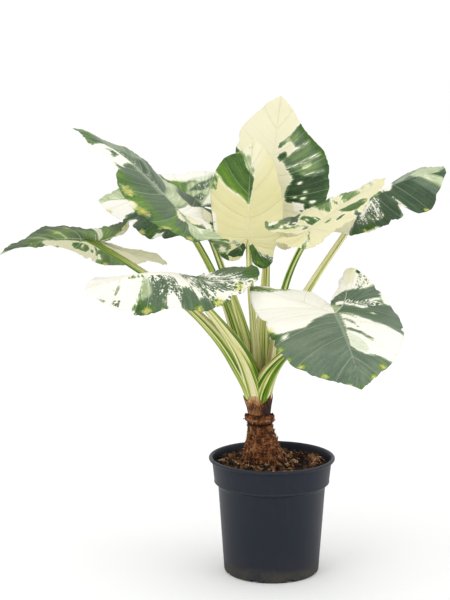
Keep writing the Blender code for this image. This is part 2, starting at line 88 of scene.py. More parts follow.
class Wire:
    """A socket of a node tree; arithmetic on wires adds Math nodes."""

    def __init__(self, tree, socket=None):
        self.tree = tree
        self.socket = socket

    def node(self, kind, values=None, output=0, **settings):
        """A node of the kind: its settings are set first, then its sockets by name or number."""
        made = self.tree.nodes.new(kind)
        for name, value in settings.items():
            if name == "stops":
                set_stops(made.color_ramp, value)
            else:
                setattr(made, name, value)
        for name, value in (values or {}).items():
            if isinstance(value, Wire):
                self.tree.links.new(value.socket, made.inputs[name])
            else:
                made.inputs[name].default_value = value
        return Wire(self.tree, made.outputs[output])

    def __getitem__(self, output):
        """Another output of the node that the wire comes from."""
        return Wire(self.tree, self.socket.node.outputs[output])

    def math(self, operation, *terms):
        return self.node("ShaderNodeMath", dict(enumerate(terms)), operation=operation)

    def __add__(self, other):
        return self.math("ADD", self, other)

    def __radd__(self, other):
        return self.math("ADD", other, self)

    def __sub__(self, other):
        return self.math("SUBTRACT", self, other)

    def __rsub__(self, other):
        return self.math("SUBTRACT", other, self)

    def __mul__(self, other):
        return self.math("MULTIPLY", self, other)

    def __rmul__(self, other):
        return self.math("MULTIPLY", other, self)

    def __truediv__(self, other):
        return self.math("DIVIDE", self, other)

    def __pow__(self, other):
        return self.math("POWER", self, other)

    def size(self):
        return self.math("ABSOLUTE", self)

    def greater(self, other):
        return self.math("MAXIMUM", self, other)

    def between(self, low, high):
        """0 below low, 1 above high and smooth between them."""
        return self.node("ShaderNodeMapRange", {"Value": self, "From Min": low, "From Max": high},
                         interpolation_type="SMOOTHSTEP")

    def vector(self, operation, *terms, output=0):
        return self.node("ShaderNodeVectorMath", dict(enumerate(terms)), output,
                         operation=operation)

    def scaled(self, vector, share):
        return self.node("ShaderNodeVectorMath", {0: vector, "Scale": share}, operation="SCALE")

    def mixed(self, share, first, second):
        """Colour between two colours or wires."""
        first, second = (value if isinstance(value, Wire) else (*value, 1.0)
                         for value in (first, second))
        return self.node("ShaderNodeMix", {0: share, 6: first, 7: second}, 2, data_type="RGBA")

    def ramp(self, shade, stops):
        """Colour that a number picks from the stops."""
        return self.node("ShaderNodeValToRGB", {0: shade}, stops=stops)

    def grain(self, place, scale, detail=2.0, roughness=0.5):
        """Noise from about 0.2 to 0.8; the scale may differ along the axes."""
        if isinstance(scale, tuple):
            place = self.vector("MULTIPLY", place, scale)
            scale = 1.0
        return self.node("ShaderNodeTexNoise", {"Vector": place, "Scale": scale,
                                                "Detail": detail, "Roughness": roughness})

    def place(self):
        """Object coordinates."""
        return self.node("ShaderNodeTexCoord", output="Object")

    def stored(self, name, output="Vector"):
        """An attribute that is stored on the mesh."""
        return self.node("ShaderNodeAttribute", output=output, attribute_name=name)

    def parts(self, vector):
        """The three numbers of a vector."""
        split = self.node("ShaderNodeSeparateXYZ", {0: vector})
        return split["X"], split["Y"], split["Z"]

    def joined(self, *numbers):
        """The vector of three numbers."""
        return self.node("ShaderNodeCombineXYZ", dict(enumerate(numbers)))

    def bump(self, height, distance, strength):
        return self.node("ShaderNodeBump", {"Height": height, "Distance": distance,
                                            "Strength": strength})


def set_stops(ramp, stops):
    """Give a colour ramp its stops: position and colour."""
    while len(ramp.elements) < len(stops):
        ramp.elements.new(0.5)
    for element, (position, colour) in zip(ramp.elements, stops):
        element.position = position
        element.color = (*colour, 1.0)


def new_finish(name, **constants):
    """A Principled material with its constant sockets set, and a wire to add nodes with."""
    material = bpy.data.materials.new(name)
    material.use_nodes = True
    shader = material.node_tree.nodes["Principled BSDF"]
    for socket, value in constants.items():
        shader.inputs[socket.replace("_", " ")].default_value = value
    return material, Wire(material.node_tree)


def wear(material, **wires):
    """Link wires to the sockets of the material's shader."""
    shader = material.node_tree.nodes["Principled BSDF"]
    for socket, wire in wires.items():
        material.node_tree.links.new(wire.socket, shader.inputs[socket.replace("_", " ")])
    return material


def new_piece(name, mesh, *materials):
    """An object for the mesh in the scene."""
    item = bpy.data.objects.new(name, mesh)
    bpy.context.scene.collection.objects.link(item)
    for material in materials:
        mesh.materials.append(material)
    return item


def piece_of(name, sheet, *materials):
    """An object made from an edited mesh, which is freed."""
    mesh = bpy.data.meshes.new(name)
    sheet.to_mesh(mesh)
    sheet.free()
    return new_piece(name, mesh, *materials)


def frozen(item):
    """The object with its modifiers applied; it becomes a mesh if it was a curve."""
    bpy.context.view_layer.update()
    evaluated = item.evaluated_get(bpy.context.evaluated_depsgraph_get())
    mesh = bpy.data.meshes.new_from_object(evaluated)
    name = item.name
    bpy.data.objects.remove(item, do_unlink=True)
    solid = bpy.data.objects.new(name, mesh)
    bpy.context.scene.collection.objects.link(solid)
    return solid


def seat(item, slot, *nodes):
    """The piece rides on the plant and stands for its solids, which are hidden; the slot is not
    used.
    """
    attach(item, "root")
    if nodes:
        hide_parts(*nodes)


def turned(name, profile, steps, material):
    """A profile of (radius, height) points turned about Z; the outer side runs downwards."""
    mesh = bpy.data.meshes.new(name)
    points = [(radius, 0.0, height) for radius, height in profile]
    mesh.from_pydata(points, [(i, i + 1) for i in range(len(points) - 1)], [])
    item = new_piece(name, mesh, material)
    screw = item.modifiers.new("Screw", "SCREW")
    screw.steps = steps
    screw.render_steps = steps
    screw.use_merge_vertices = True
    screw.merge_threshold = WELD
    return item


def smooth(item, angle=40.0):
    """Smooth shading with sharp edges where faces meet at more than the angle."""
    item.data.shade_smooth()
    item.data.set_sharp_from_angle(angle=math.radians(angle))


def arc(middle, radius, first, last, steps):
    """Points of an arc in the profile's plane, angles in degrees."""
    return [(middle[0] + radius * math.cos(turn), middle[1] + radius * math.sin(turn))
            for turn in np.radians(np.linspace(first, last, steps))]


def pot_profile():
    """Closed profile: floor, inner wall, lip, band, ledge, shoulder, body, foot and recess."""
    bead = (LIP_RADIUS - LIP_BEAD, POT_HEIGHT - LIP_BEAD)
    shoulder = BAND_FOOT - SHOULDER_HEIGHT
    inside = [(0.0, FLOOR), (FOOT_RADIUS - WALL - FLOOR_FILLET, FLOOR),
              (FOOT_RADIUS - WALL, FLOOR + FLOOR_FILLET),
              (SHOULDER_RADIUS - WALL, shoulder), (BAND_FOOT_RADIUS - WALL, BAND_FOOT),
              (BAND_TOP_RADIUS - WALL, POT_HEIGHT - 2 * LIP_BEAD)]
    lip = arc(bead, LIP_BEAD, 160, -90, 18)
    ledge = arc((BAND_FOOT_RADIUS, BAND_FOOT + BAND_LEDGE), BAND_LEDGE, 80, -100, 6)
    corner = arc((FOOT_RADIUS - FOOT_ROUND, FOOT_ROUND), FOOT_ROUND, 0, -90, 8)
    recess = [(FOOT_RECESS[0] + RECESS_SLOPE, 0.0), FOOT_RECESS, (0.0, FOOT_RECESS[1])]
    return (inside + lip + [(BAND_TOP_RADIUS, POT_HEIGHT - 2 * LIP_BEAD - EDGE_BREAK)] + ledge
            + [(SHOULDER_RADIUS + EDGE_BREAK, shoulder + EDGE_BREAK),
               (SHOULDER_RADIUS, shoulder - EDGE_BREAK)] + corner + recess)


def pot_finish():
    """Charcoal plastic, paler where it is rubbed and along a painted highlight on the ledge under
    the band, with brown dust low down and inside.
    """
    material, base = new_finish("pot_plastic", Metallic=0.0, Specular_IOR_Level=0.22)
    place = base.place()
    x, y, z = base.parts(place)
    radius = (x * x + y * y) ** 0.5
    cloud = base.grain(place, 26.0, 4.0)
    drawn = base.grain(place, (150.0, 150.0, 6.0), 3.0)
    speck = base.grain(place, 900.0, 2.0)
    tide = z + (cloud - 0.5) * 0.030
    low = (1.0 - tide.between(*DUST_LINE)) * 1.1 + (1.0 - z.between(0.0, 0.075)) * 0.25
    taper = (BAND_TOP_RADIUS - BAND_FOOT_RADIUS) / BAND_HEIGHT
    inner = 1.0 - (radius - z * taper).between(*INNER_WALL)
    inside = z.between(POT_HEIGHT - 0.03, POT_HEIGHT - 0.02) * inner
    dust = (low + inside * 0.9 + 0.04) * (cloud * 0.4 + speck * 0.6).between(0.34, 0.66)
    lip = z.between(POT_HEIGHT - 0.0045, POT_HEIGHT - 0.001) * 0.45
    # Painted highlight: a thin paler line along the ledge at the foot of the band, mixed in with
    # the rubbed marks.
    line = 1.0 - (z - (BAND_FOOT + BAND_LEDGE)).size().between(0.0006, 0.0020)
    scuff_and_highlight = (lip + line * 0.75) * speck.between(0.3, 0.6) + drawn.between(0.55, 0.75) * 0.16
    colour = base.mixed(scuff_and_highlight, CHARCOAL, SCUFF_AND_HIGHLIGHT_GREY)
    colour = base.mixed(dust * 0.5, colour, DUST_BROWN)
    roughness = 0.40 + cloud * 0.10 + dust * 0.35
    bump = base.bump(speck * 0.6 + drawn * 0.5, 0.00035, 0.35)
    return wear(material, Base_Color=colour, Roughness=roughness, Normal=bump)


pot = turned("pot_shell", pot_profile(), POT_STEPS, pot_finish())
cutter_mesh = bmesh.new()
for index in range(SLOT_COUNT):
    turn = 2 * math.pi * (index + 0.5) / SLOT_COUNT
    box = bmesh.ops.create_cube(cutter_mesh, size=1.0)["verts"]
    bmesh.ops.scale(cutter_mesh, verts=box, vec=SLOT_SIZE)
    edges = list({edge for vertex in box for edge in vertex.link_edges})
    rounded = bmesh.ops.bevel(cutter_mesh, geom=edges, offset=SLOT_EDGE, segments=2,
                              affect="EDGES")["verts"]
    for vertex in rounded:
        x, y = vertex.co.x + SLOT_RING, vertex.co.y
        vertex.co.x = x * math.cos(turn) - y * math.sin(turn)
        vertex.co.y = x * math.sin(turn) + y * math.cos(turn)
slots = piece_of("drain_slots", cutter_mesh)
cut = pot.modifiers.new("Slots", "BOOLEAN")
cut.operation = "DIFFERENCE"
cut.object = slots
cut.solver = "EXACT"
pot = frozen(pot)
bpy.data.objects.remove(slots, do_unlink=True)
smooth(pot)
seat(pot, "pot_plastic", "pot")


# The potting mix is coarse pine bark with coir crumbs. It fills the pot to just under the lip,
# and loose chips lie on its lumpy top, each tipped its own way.
SOIL_TOP = 0.1805
SOIL_RADIUS = 0.0955
SOIL_EDGE = 0.0968
SOIL_CELLS = 48
SOIL_RELIEF = 0.0012
SOIL_GRAIN = 45.0
SOIL_SEED = 11
TRUNK_FOOT = Vector((-0.014, 0.012))
TRUNK_CLEARANCE = 0.033
CHIP_ROOM = 0.012
CHIP_ROUGHNESS = 0.003
CHIP_COUNT = 780.0
CRUMB_COUNT = 1300.0
CRUMB_BROWN = (0.024, 0.010, 0.004)
CRUMB_SHADOW = (0.008, 0.003, 0.001)
BARK_STOPS = ((0.0, (0.005, 0.002, 0.001)), (0.35, (0.026, 0.010, 0.003)),
              (0.60, (0.115, 0.045, 0.015)), (0.82, (0.270, 0.130, 0.052)),
              (1.0, (0.600, 0.430, 0.260)))


def new_tree(name, inputs):
    """A Geometry Nodes tree with named inputs: socket type and value; and its two ends."""
    tree = bpy.data.node_groups.new(name, "GeometryNodeTree")
    tree.interface.new_socket("Geometry", in_out="INPUT", socket_type="NodeSocketGeometry")
    tree.interface.new_socket("Geometry", in_out="OUTPUT", socket_type="NodeSocketGeometry")
    for label, (kind, value) in inputs.items():
        socket = tree.interface.new_socket(label, in_out="INPUT", socket_type="NodeSocket" + kind)
        if value is not None:
            socket.default_value = value
    start = tree.nodes.new("NodeGroupInput")
    return tree, Wire(tree, start.outputs[0])


def chance(wire, seed, low=0.0, high=1.0):
    """A random number, or a random vector, for each point."""
    if isinstance(low, tuple):
        return wire.node("FunctionNodeRandomValue", {0: low, 1: high, "Seed": seed},
                         data_type="FLOAT_VECTOR")
    return wire.node("FunctionNodeRandomValue", {2: low, 3: high, "Seed": seed}, 1,
                     data_type="FLOAT")


def kept(geometry, name, kind, value, domain="POINT"):
    """The geometry with the value stored on it as an attribute."""
    return geometry.node("GeometryNodeStoreNamedAttribute",
                         {"Geometry": geometry, "Name": name, "Value": value},
                         data_type=kind, domain=domain)


def scattered(start, density, seed):
    """Points at random on the faces of the tree's mesh."""
    return start.node("GeometryNodeDistributePointsOnFaces",
                      {"Mesh": start, "Density": density, "Seed": seed}, distribute_method="RANDOM")


def planted(points, shape, turn, size, seed):
    """The shape on each point, with a random tint for its finish to read."""
    placed = points.node("GeometryNodeInstanceOnPoints", {
        "Points": points, "Instance": shape, "Rotation": turn, "Scale": size})
    return kept(placed, "tint", "FLOAT", chance(points, seed), "INSTANCE")


def shaken(geometry, place, grain, amount):
    """The geometry's instances made real, and their points pushed about by noise."""
    real = geometry.node("GeometryNodeRealizeInstances", {"Geometry": geometry})
    push = geometry.node("ShaderNodeTexNoise", {"Vector": place, "Scale": grain}, "Color")
    push = geometry.scaled(geometry.vector("SUBTRACT", push, (0.5, 0.5, 0.5)), amount)
    return geometry.node("GeometryNodeSetPosition", {"Geometry": real, "Offset": push})


def end_tree(tree, geometry, material):
    """Make instances real, give the material and close the tree."""
    real = geometry.node("GeometryNodeRealizeInstances", {"Geometry": geometry})
    soft = geometry.node("GeometryNodeSetShadeSmooth", {"Geometry": real})
    dressed = geometry.node("GeometryNodeSetMaterial", {"Geometry": soft, "Material": material})
    tree.links.new(dressed.socket, tree.nodes.new("NodeGroupOutput").inputs[0])


def grown(item, tree, **values):
    """Give the object a tree with its named inputs set, and turn the result into a mesh."""
    modifier = item.modifiers.new(tree.name, "NODES")
    modifier.node_group = tree
    for socket in tree.interface.items_tree:
        label = socket.name.replace(" ", "_")
        if socket.in_out == "INPUT" and label in values:
            modifier[socket.identifier] = values[label]
    return frozen(item)


def bark_finish():
    """Bark: each chip has its own brown, with a fibrous grain and pale corky flecks."""
    material, base = new_finish("bark_mix", Metallic=0.0, Specular_IOR_Level=0.25)
    place = base.place()
    tint = base.stored("tint", "Fac")
    fibre = base.grain(place, (420.0, 160.0, 420.0), 4.0)
    cork = base.grain(place, 700.0, 3.0)
    shade = tint * 0.95 + fibre * 0.9 - 0.55 + cork.between(0.56, 0.70) * 0.25
    colour = base.ramp(shade, BARK_STOPS)
    bump = base.bump(fibre + cork * 0.5, 0.0012, 0.9)
    return wear(material, Base_Color=colour, Roughness=0.80 + cork * 0.25, Normal=bump)


def soil_finish():
    """The mix under the chips: dark, moist crumbs, with painted shadow in the gaps between them."""
    material, base = new_finish("soil_dark", Roughness=0.95, Metallic=0.0)
    crumbs = base.node("ShaderNodeTexVoronoi", {"Vector": base.place(), "Scale": 240.0})
    # Painted shadow: each crumb darkens towards its edges, into the gaps between crumbs.
    colour = base.mixed(crumbs, CRUMB_BROWN, CRUMB_SHADOW)
    return wear(material, Base_Color=colour, Normal=base.bump(crumbs, 0.002, 0.8))


def chips_tree(material):
    """Chips and crumbs scattered on a surface, tipped and squashed at random."""
    tree, start = new_tree("bark_chips", {"Chip Density": ("Float", 100.0),
                                          "Crumb Density": ("Float", 100.0),
                                          "Roughness": ("Float", 0.003), "Seed": ("Int", 0)})
    heaps = []
    where = start.node("GeometryNodeInputPosition")
    block = start.node("GeometryNodeMeshCube", {"Size": (1, 1, 1), "Vertices X": 4,
                                                "Vertices Y": 3, "Vertices Z": 2})
    pebble = start.node("GeometryNodeMeshIcoSphere", {"Radius": 0.5, "Subdivisions": 1})
    for density, shape, least, most, tip, lift in (
            ("Chip Density", block, (0.006, 0.004, 0.0014), (0.024, 0.011, 0.0045), 0.75, 0.0026),
            ("Crumb Density", pebble, (0.002, 0.002, 0.0015), (0.0065, 0.0045, 0.004),
             3.0, 0.0016)):
        spread = scattered(start, start[density], start["Seed"])
        raised = start.node("GeometryNodeSetPosition",
                            {"Geometry": spread, "Offset": (0.0, 0.0, lift)})
        room = start.vector("LENGTH", start.vector("MULTIPLY", where, (1.0, 1.0, 0.0)), output=1)
        room = ((SOIL_EDGE - room) / CHIP_ROOM).between(0.0, 1.3) * 0.8 + 0.2
        turn = chance(start, 5, (-tip, -tip, 0.0), (tip, tip, 2 * math.pi))
        size = start.scaled(chance(start, 3, least, most), room)
        heaps.append(planted(raised, shape, turn, size, 7))
    join = tree.nodes.new("GeometryNodeJoinGeometry")
    for heap in heaps:
        tree.links.new(heap.socket, join.inputs[0])
    broken = shaken(Wire(tree, join.outputs[0]), where, 240.0, start["Roughness"])
    end_tree(tree, broken, material)
    return tree


bpy.data.objects[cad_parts["soil"].name].material_slots[0].material = soil_finish()
bed = bmesh.new()
bmesh.ops.create_grid(bed, x_segments=SOIL_CELLS, y_segments=SOIL_CELLS, size=SOIL_RADIUS)
outside = [vertex for vertex in bed.verts
           if vertex.co.xy.length > SOIL_RADIUS - WALL
           or (vertex.co.xy - TRUNK_FOOT).length < TRUNK_CLEARANCE]
bmesh.ops.delete(bed, geom=outside, context="VERTS")
for vertex in bed.verts:
    vertex.co.z = SOIL_TOP + SOIL_RELIEF * noise.noise(vertex.co * SOIL_GRAIN)
bed_area = math.pi * (SOIL_RADIUS ** 2 - TRUNK_CLEARANCE ** 2)
chips = grown(piece_of("bark_chips", bed), chips_tree(bark_finish()),
              Chip_Density=CHIP_COUNT / bed_area, Crumb_Density=CRUMB_COUNT / bed_area,
              Roughness=CHIP_ROUGHNESS, Seed=SOIL_SEED)
seat(chips, "bark_mix")


# The trunk is a short living stem, brown and fibrous. The scars of old leaves ring it, a frayed
# collar stands at its neck, and loose fibres and a few roots cover it down to the soil.
CROWN = Vector((-0.023, 0.012, 0.292))
SOIL_LINE = 0.186
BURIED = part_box("trunk")[0].z
TRUNK_PROFILE = ((0.0120, 0.2920), (0.0130, 0.2865), (0.0150, 0.2780), (0.0165, 0.2680),
                 (0.0168, 0.2620), (0.0230, 0.2585), (0.0236, 0.2545), (0.0212, 0.2500),
                 (0.0222, 0.2380), (0.0246, 0.2260), (0.0282, 0.2130), (0.0304, 0.2000),
                 (0.0335, 0.1900), (0.0355, 0.1845))
TRUNK_STEPS = 168
TRUNK_ROWS = 150
CROWN_EASE = 0.006
SCAR_HEIGHT = 0.0085
SCAR_DEPTH = 0.0019
SCAR_WANDER = 0.004
LUMP_DEPTH = 0.0008
FIBRE_DEPTH = 0.0009
FIBRE_LENGTH = 0.0065
FIBRE_RADIUS = 0.00042
FIBRE_WAVE = 0.003
FIBRE_DENSITY = 120000.0
COAT_LIMITS = (SOIL_LINE - 0.003, CROWN.z - 0.012)
COLLAR_RING = ((0.2530, 0.0224), (0.2560, 0.0236), (0.2600, 0.0240), (0.2635, 0.0232),
               (0.2665, 0.0222))
COLLAR_CELLS = (180, 10)
COLLAR_FOOT = 0.2540
COLLAR_TOP = 0.2632
COLLAR_TEAR = 0.0030
COLLAR_WAVE = 0.0007
COLLAR_LEAN = 0.0026
COLLAR_THICKNESS = 0.0008
ROOTS = ((338.0, 0.216, 0.046, 0.75), (352.0, 0.222, 0.052, 0.60), (325.0, 0.205, 0.050, 0.50),
         (8.0, 0.212, 0.055, 0.65), (308.0, 0.198, 0.047, 0.80), (284.0, 0.193, 0.045, 0.55),
         (252.0, 0.196, 0.046, 0.45), (214.0, 0.212, 0.044, 0.60), (186.0, 0.236, 0.038, 1.10),
         (120.0, 0.210, 0.048, 0.60), (60.0, 0.215, 0.050, 0.70))
ROOT_RADIUS = 0.0010
ROOT_POINTS = 14
ROOT_ARCH = 0.0012
ROOT_WANDER = 0.004
ROOT_TINT = 0.8
TRUNK_STOPS = ((0.0, (0.008, 0.003, 0.001)), (0.30, (0.044, 0.014, 0.004)),
               (0.55, (0.178, 0.060, 0.019)), (0.78, (0.370, 0.150, 0.054)),
               (1.0, (0.620, 0.420, 0.220)))


def trunk_axis(height):
    """Middle of the trunk at a height: upright in the soil and leaning above it."""
    share = max(height - SOIL_LINE, 0.0) / (CROWN.z - SOIL_LINE)
    return TRUNK_FOOT + (CROWN.xy - TRUNK_FOOT) * share


def trunk_finish():
    """Brown fibre that runs up the stem, darker in the rings and near the soil, with painted shade
    in a dark line just under the collar.
    """
    material, base = new_finish("trunk_fibre", Metallic=0.0, Specular_IOR_Level=0.25)
    place = base.place()
    height = base.parts(place)[2]
    strands = base.grain(place, (520.0, 520.0, 38.0), 4.0, 0.6)
    clumps = base.grain(place, (90.0, 90.0, 30.0), 3.0)
    patches = base.grain(place, 55.0, 2.0)
    darkening = 1.0 - height.between(0.182, 0.205)
    collar = 1.0 - (height - 0.2565).size().between(0.002, 0.006)
    chunks = base.grain(place, (190.0, 190.0, 130.0), 4.0, 0.65)
    rings = base.grain(place, (70.0, 70.0, 430.0), 3.0, 0.6)
    strands = strands * 0.6 + rings * 0.7
    shade = strands * 1.25 + chunks * 1.35 + clumps * 0.40 - 1.20 + (patches - 0.5) * 0.5
    # Painted shade: a dark line round the stem just under the frayed collar.
    groove = 1.0 - (height - 0.2492).size().between(0.0006, 0.0030)
    shade = shade - darkening * 0.10 + collar * 0.12 - groove * 0.35
    shade = shade + (base.stored("tint", "Fac") ** 2.0) * 0.50
    colour = base.ramp(shade, TRUNK_STOPS)
    bump = base.bump(strands + clumps * 0.6 + chunks * 1.4, 0.0018, 1.0)
    return wear(material, Base_Color=colour, Roughness=0.82 + patches * 0.2, Normal=bump)


def fibres_tree(material):
    """Thin strands that lie flat along a surface, each its own way."""
    tree, start = new_tree("fibres", {"Density": ("Float", 100.0), "Length": ("Float", 0.01),
                                      "Radius": ("Float", 0.0003), "Waviness": ("Float", 0.004),
                                      "Seed": ("Int", 0)})
    where = start.node("GeometryNodeInputPosition")
    height = start.parts(where)[2]
    collar = 1.0 - (height - 0.2575).size().between(0.002, 0.008)
    share = 0.34 + collar * 0.16
    spread = scattered(start, start["Density"] * share, start["Seed"])
    way = chance(start, 2, (-1.0, -1.0, -1.0), (1.0, 1.0, 1.0))
    outward = start.vector("DOT_PRODUCT", way, spread["Normal"], output=1) - 0.03
    way = start.vector("SUBTRACT", way, start.scaled(spread["Normal"], outward))
    turn = start.node("FunctionNodeAlignRotationToVector", {"Vector": way}, axis="Z")
    top = start.joined(0.0, 0.0, start["Length"])
    line = start.node("GeometryNodeCurvePrimitiveLine", {"End": top})
    line = start.node("GeometryNodeResampleCurve", {"Curve": line, "Count": 6})
    section = start.node("GeometryNodeCurvePrimitiveCircle",
                         {"Resolution": 3, "Radius": start["Radius"]})
    strand = start.node("GeometryNodeCurveToMesh", {"Curve": line, "Profile Curve": section,
                                                    "Fill Caps": True})
    coat = planted(spread, strand, turn, chance(start, 4, 0.45, 1.5), 9)
    end_tree(tree, shaken(coat, where, 110.0, start["Waviness"]), material)
    return tree


def trunk_points():
    """The trunk's profile in fine steps, from the crown's middle down to the buried foot."""
    radii, heights = zip(*TRUNK_PROFILE)
    rows = np.linspace(CROWN.z, heights[-1], TRUNK_ROWS)
    widths = np.interp(rows, heights[::-1], radii[::-1])
    ease = np.array((0.25, 0.5, 0.25))
    widths[1:-1] = np.convolve(widths, ease, "valid")
    side = list(zip(widths, rows))
    return [(0.0, CROWN.z)] + side + [(radii[-1], BURIED), (0.0, BURIED)]


def thickened(item, thickness, offset):
    """A thin sheet given its thickness, outwards with an offset of 1 and inwards with -1."""
    solidify = item.modifiers.new("Solidify", "SOLIDIFY")
    solidify.thickness = thickness
    solidify.offset = offset
    return solidify


fibre_brown = trunk_finish()
trunk = frozen(turned("trunk_stem", trunk_points(), TRUNK_STEPS, fibre_brown))
for vertex in trunk.data.vertices:
    place = vertex.co
    radius = math.hypot(place.x, place.y)
    if radius > 0.001 and SOIL_LINE < place.z < CROWN.z - 0.0005:
        ease = min(1.0, (CROWN.z - place.z) / CROWN_EASE)
        strand = noise.noise(Vector((place.x * 260, place.y * 260, place.z * 24)))
        lump = noise.noise(place * 70.0)
        wander = SCAR_WANDER * noise.noise(Vector((place.x * 30, place.y * 30, 3.0)))
        step = ((place.z + wander) / SCAR_HEIGHT % 1.0) ** 2
        relief = FIBRE_DEPTH * strand + LUMP_DEPTH * lump + SCAR_DEPTH * (step - 0.6)
        growth = 1.0 + ease * relief / radius
        place.x *= growth
        place.y *= growth
    place.xy += trunk_axis(place.z)
smooth(trunk, 60.0)
seat(trunk, "trunk_fibre", "trunk")

coat = bmesh.new()
coat.from_mesh(trunk.data)
bare = [face for face in coat.faces
        if not COAT_LIMITS[0] < face.calc_center_median().z < COAT_LIMITS[1]]
bmesh.ops.delete(coat, geom=bare, context="FACES")
fibres = grown(piece_of("trunk_fibres", coat), fibres_tree(fibre_brown), Density=FIBRE_DENSITY,
               Length=FIBRE_LENGTH, Radius=FIBRE_RADIUS, Waviness=FIBRE_WAVE, Seed=4)
seat(fibres, "trunk_fibre")

ring = bmesh.new()
bmesh.ops.create_grid(ring, x_segments=COLLAR_CELLS[0], y_segments=COLLAR_CELLS[1], size=1.0)
for vertex in ring.verts:
    turn, up = math.pi * vertex.co.x, 0.5 + 0.5 * vertex.co.y
    around = Vector((math.cos(turn), math.sin(turn), 0.0))
    tear = noise.noise(around * 3.0) + 0.8 * noise.noise(around * 11.0 + Vector((0.0, 0.0, 5.0)))
    low = COLLAR_FOOT + 0.6 * COLLAR_TEAR * noise.noise(around * 8.0 + Vector((0.0, 0.0, 9.0)))
    height = low + (COLLAR_TOP + COLLAR_TEAR * tear - low) * up
    radius = float(np.interp(height, *zip(*COLLAR_RING)))
    radius += COLLAR_WAVE * noise.noise(around * 9.0 + Vector((0.0, 0.0, 3.0 * up)))
    radius += COLLAR_LEAN * max(noise.noise(around * 2.2 + Vector((0.0, 0.0, 7.0))), 0.0) * up
    axis = trunk_axis(height)
    vertex.co = (axis.x + radius * around.x, axis.y + radius * around.y, height)
bmesh.ops.remove_doubles(ring, verts=list(ring.verts), dist=WELD)
bmesh.ops.recalc_face_normals(ring, faces=list(ring.faces))
collar = piece_of("frayed_collar", ring, fibre_brown)
thickened(collar, COLLAR_THICKNESS, 1.0)
smooth(collar, 60.0)
seat(collar, "trunk_fibre")

roots = bpy.data.curves.new("roots", "CURVE")
roots.dimensions = "3D"
roots.bevel_depth = ROOT_RADIUS
roots.bevel_resolution = 1
roots.use_fill_caps = True
for index, (heading, height, reach, girth) in enumerate(ROOTS):
    turn = math.radians(heading)
    around = Vector((math.cos(turn), math.sin(turn)))
    start = float(np.interp(height, *zip(*((z, radius) for radius, z in TRUNK_PROFILE[::-1]))))
    strand = roots.splines.new("POLY")
    strand.points.add(ROOT_POINTS - 1)
    for step, point in enumerate(strand.points):
        share = step / (ROOT_POINTS - 1)
        radius = start + (reach - start) * share ** 1.6 + ROOT_ARCH * math.sin(math.pi * share)
        level = height + (SOIL_TOP + ROOT_RADIUS - height) * share ** 0.9
        wander = ROOT_WANDER * share * noise.noise(Vector((share * 4.0, index * 7.0, 1.0)))
        place = trunk_axis(level) + around * radius + Vector((-around.y, around.x)) * wander
        point.co = (place.x, place.y, level, 1.0)
        point.radius = girth * (1.0 - 0.5 * share)
root_item = frozen(new_piece("roots", roots))
root_item.data.materials.append(fibre_brown)
tint = root_item.data.attributes.new("tint", "FLOAT", "POINT")
tint.data.foreach_set("value", [ROOT_TINT] * len(root_item.data.vertices))
root_item.data.shade_smooth()
seat(root_item, "trunk_fibre")


# Three dry leaf bases are all that is left of the oldest leaves. Each is a papery brown scale
# that clasps the crown, with veins that run up it and a torn, pointed top.
SHEATH_CELLS = (72, 26)
SHEATH_FOOT = 0.266
SHEATH_THICKNESS = 0.0006
SHEATH_TEAR = 0.0032
SHEATH_CREASE = 0.0007
SHEATH_WARP = 0.0012
SHEATH_TAPER = 0.2
SHEATH_FLARE = ((0.266, 0.0182), (0.2785, 0.0202), (0.292, 0.0238), (0.302, 0.0246),
                (0.314, 0.0250))
# Each one's middle and width, in degrees round the crown, and the height of its rim across it
DRY_SHEATHS = (
    (278.0, 138.0, ((-1.0, 0.2925), (-0.70, 0.2965), (-0.40, 0.3035), (-0.22, 0.2990),
                    (0.28, 0.2830), (0.45, 0.2880), (0.7, 0.2960), (0.85, 0.3000), (1.0, 0.2950))),
    (165.0, 128.0, ((-1.0, 0.2900), (-0.5, 0.2935), (0.0, 0.2940), (0.5, 0.2925), (1.0, 0.2890))),
    (48.0, 128.0, ((-1.0, 0.2960), (-0.88, 0.3050), (-0.70, 0.2980), (-0.3, 0.2950), (0.1, 0.2985),
                   (0.5, 0.2950), (1.0, 0.2900))),
)
SHEATH_STOPS = ((0.0, (0.022, 0.006, 0.002)), (0.36, (0.125, 0.042, 0.012)),
                (0.64, (0.370, 0.170, 0.062)), (1.0, (0.700, 0.480, 0.240)))


def sheath_finish():
    """Papery brown: fine veins up the scale and stained patches, with painted light towards the top
    and painted shade on the right side.
    """
    material, base = new_finish("dry_sheath", Metallic=0.0, Specular_IOR_Level=0.3)
    place = base.place()
    x, _, height = base.parts(place)
    veins = base.grain(place, (620.0, 620.0, 14.0), 3.0, 0.6)
    stain = base.grain(place, (60.0, 60.0, 45.0), 4.0)
    # Painted light and shade: the scale is lighter towards its top and darker towards its right
    # side, away from the light at the upper left.
    pale = height.between(0.276, 0.300) * 0.34
    darkening = x.between(-0.028, -0.004) * 0.50
    shade = veins * 1.30 + stain * 1.30 - 0.84 + pale - darkening
    colour = base.ramp(shade, SHEATH_STOPS)
    bump = base.bump(veins + stain * 0.4, 0.0009, 0.9)
    return wear(material, Base_Color=colour, Roughness=0.60 + stain * 0.3, Normal=bump)


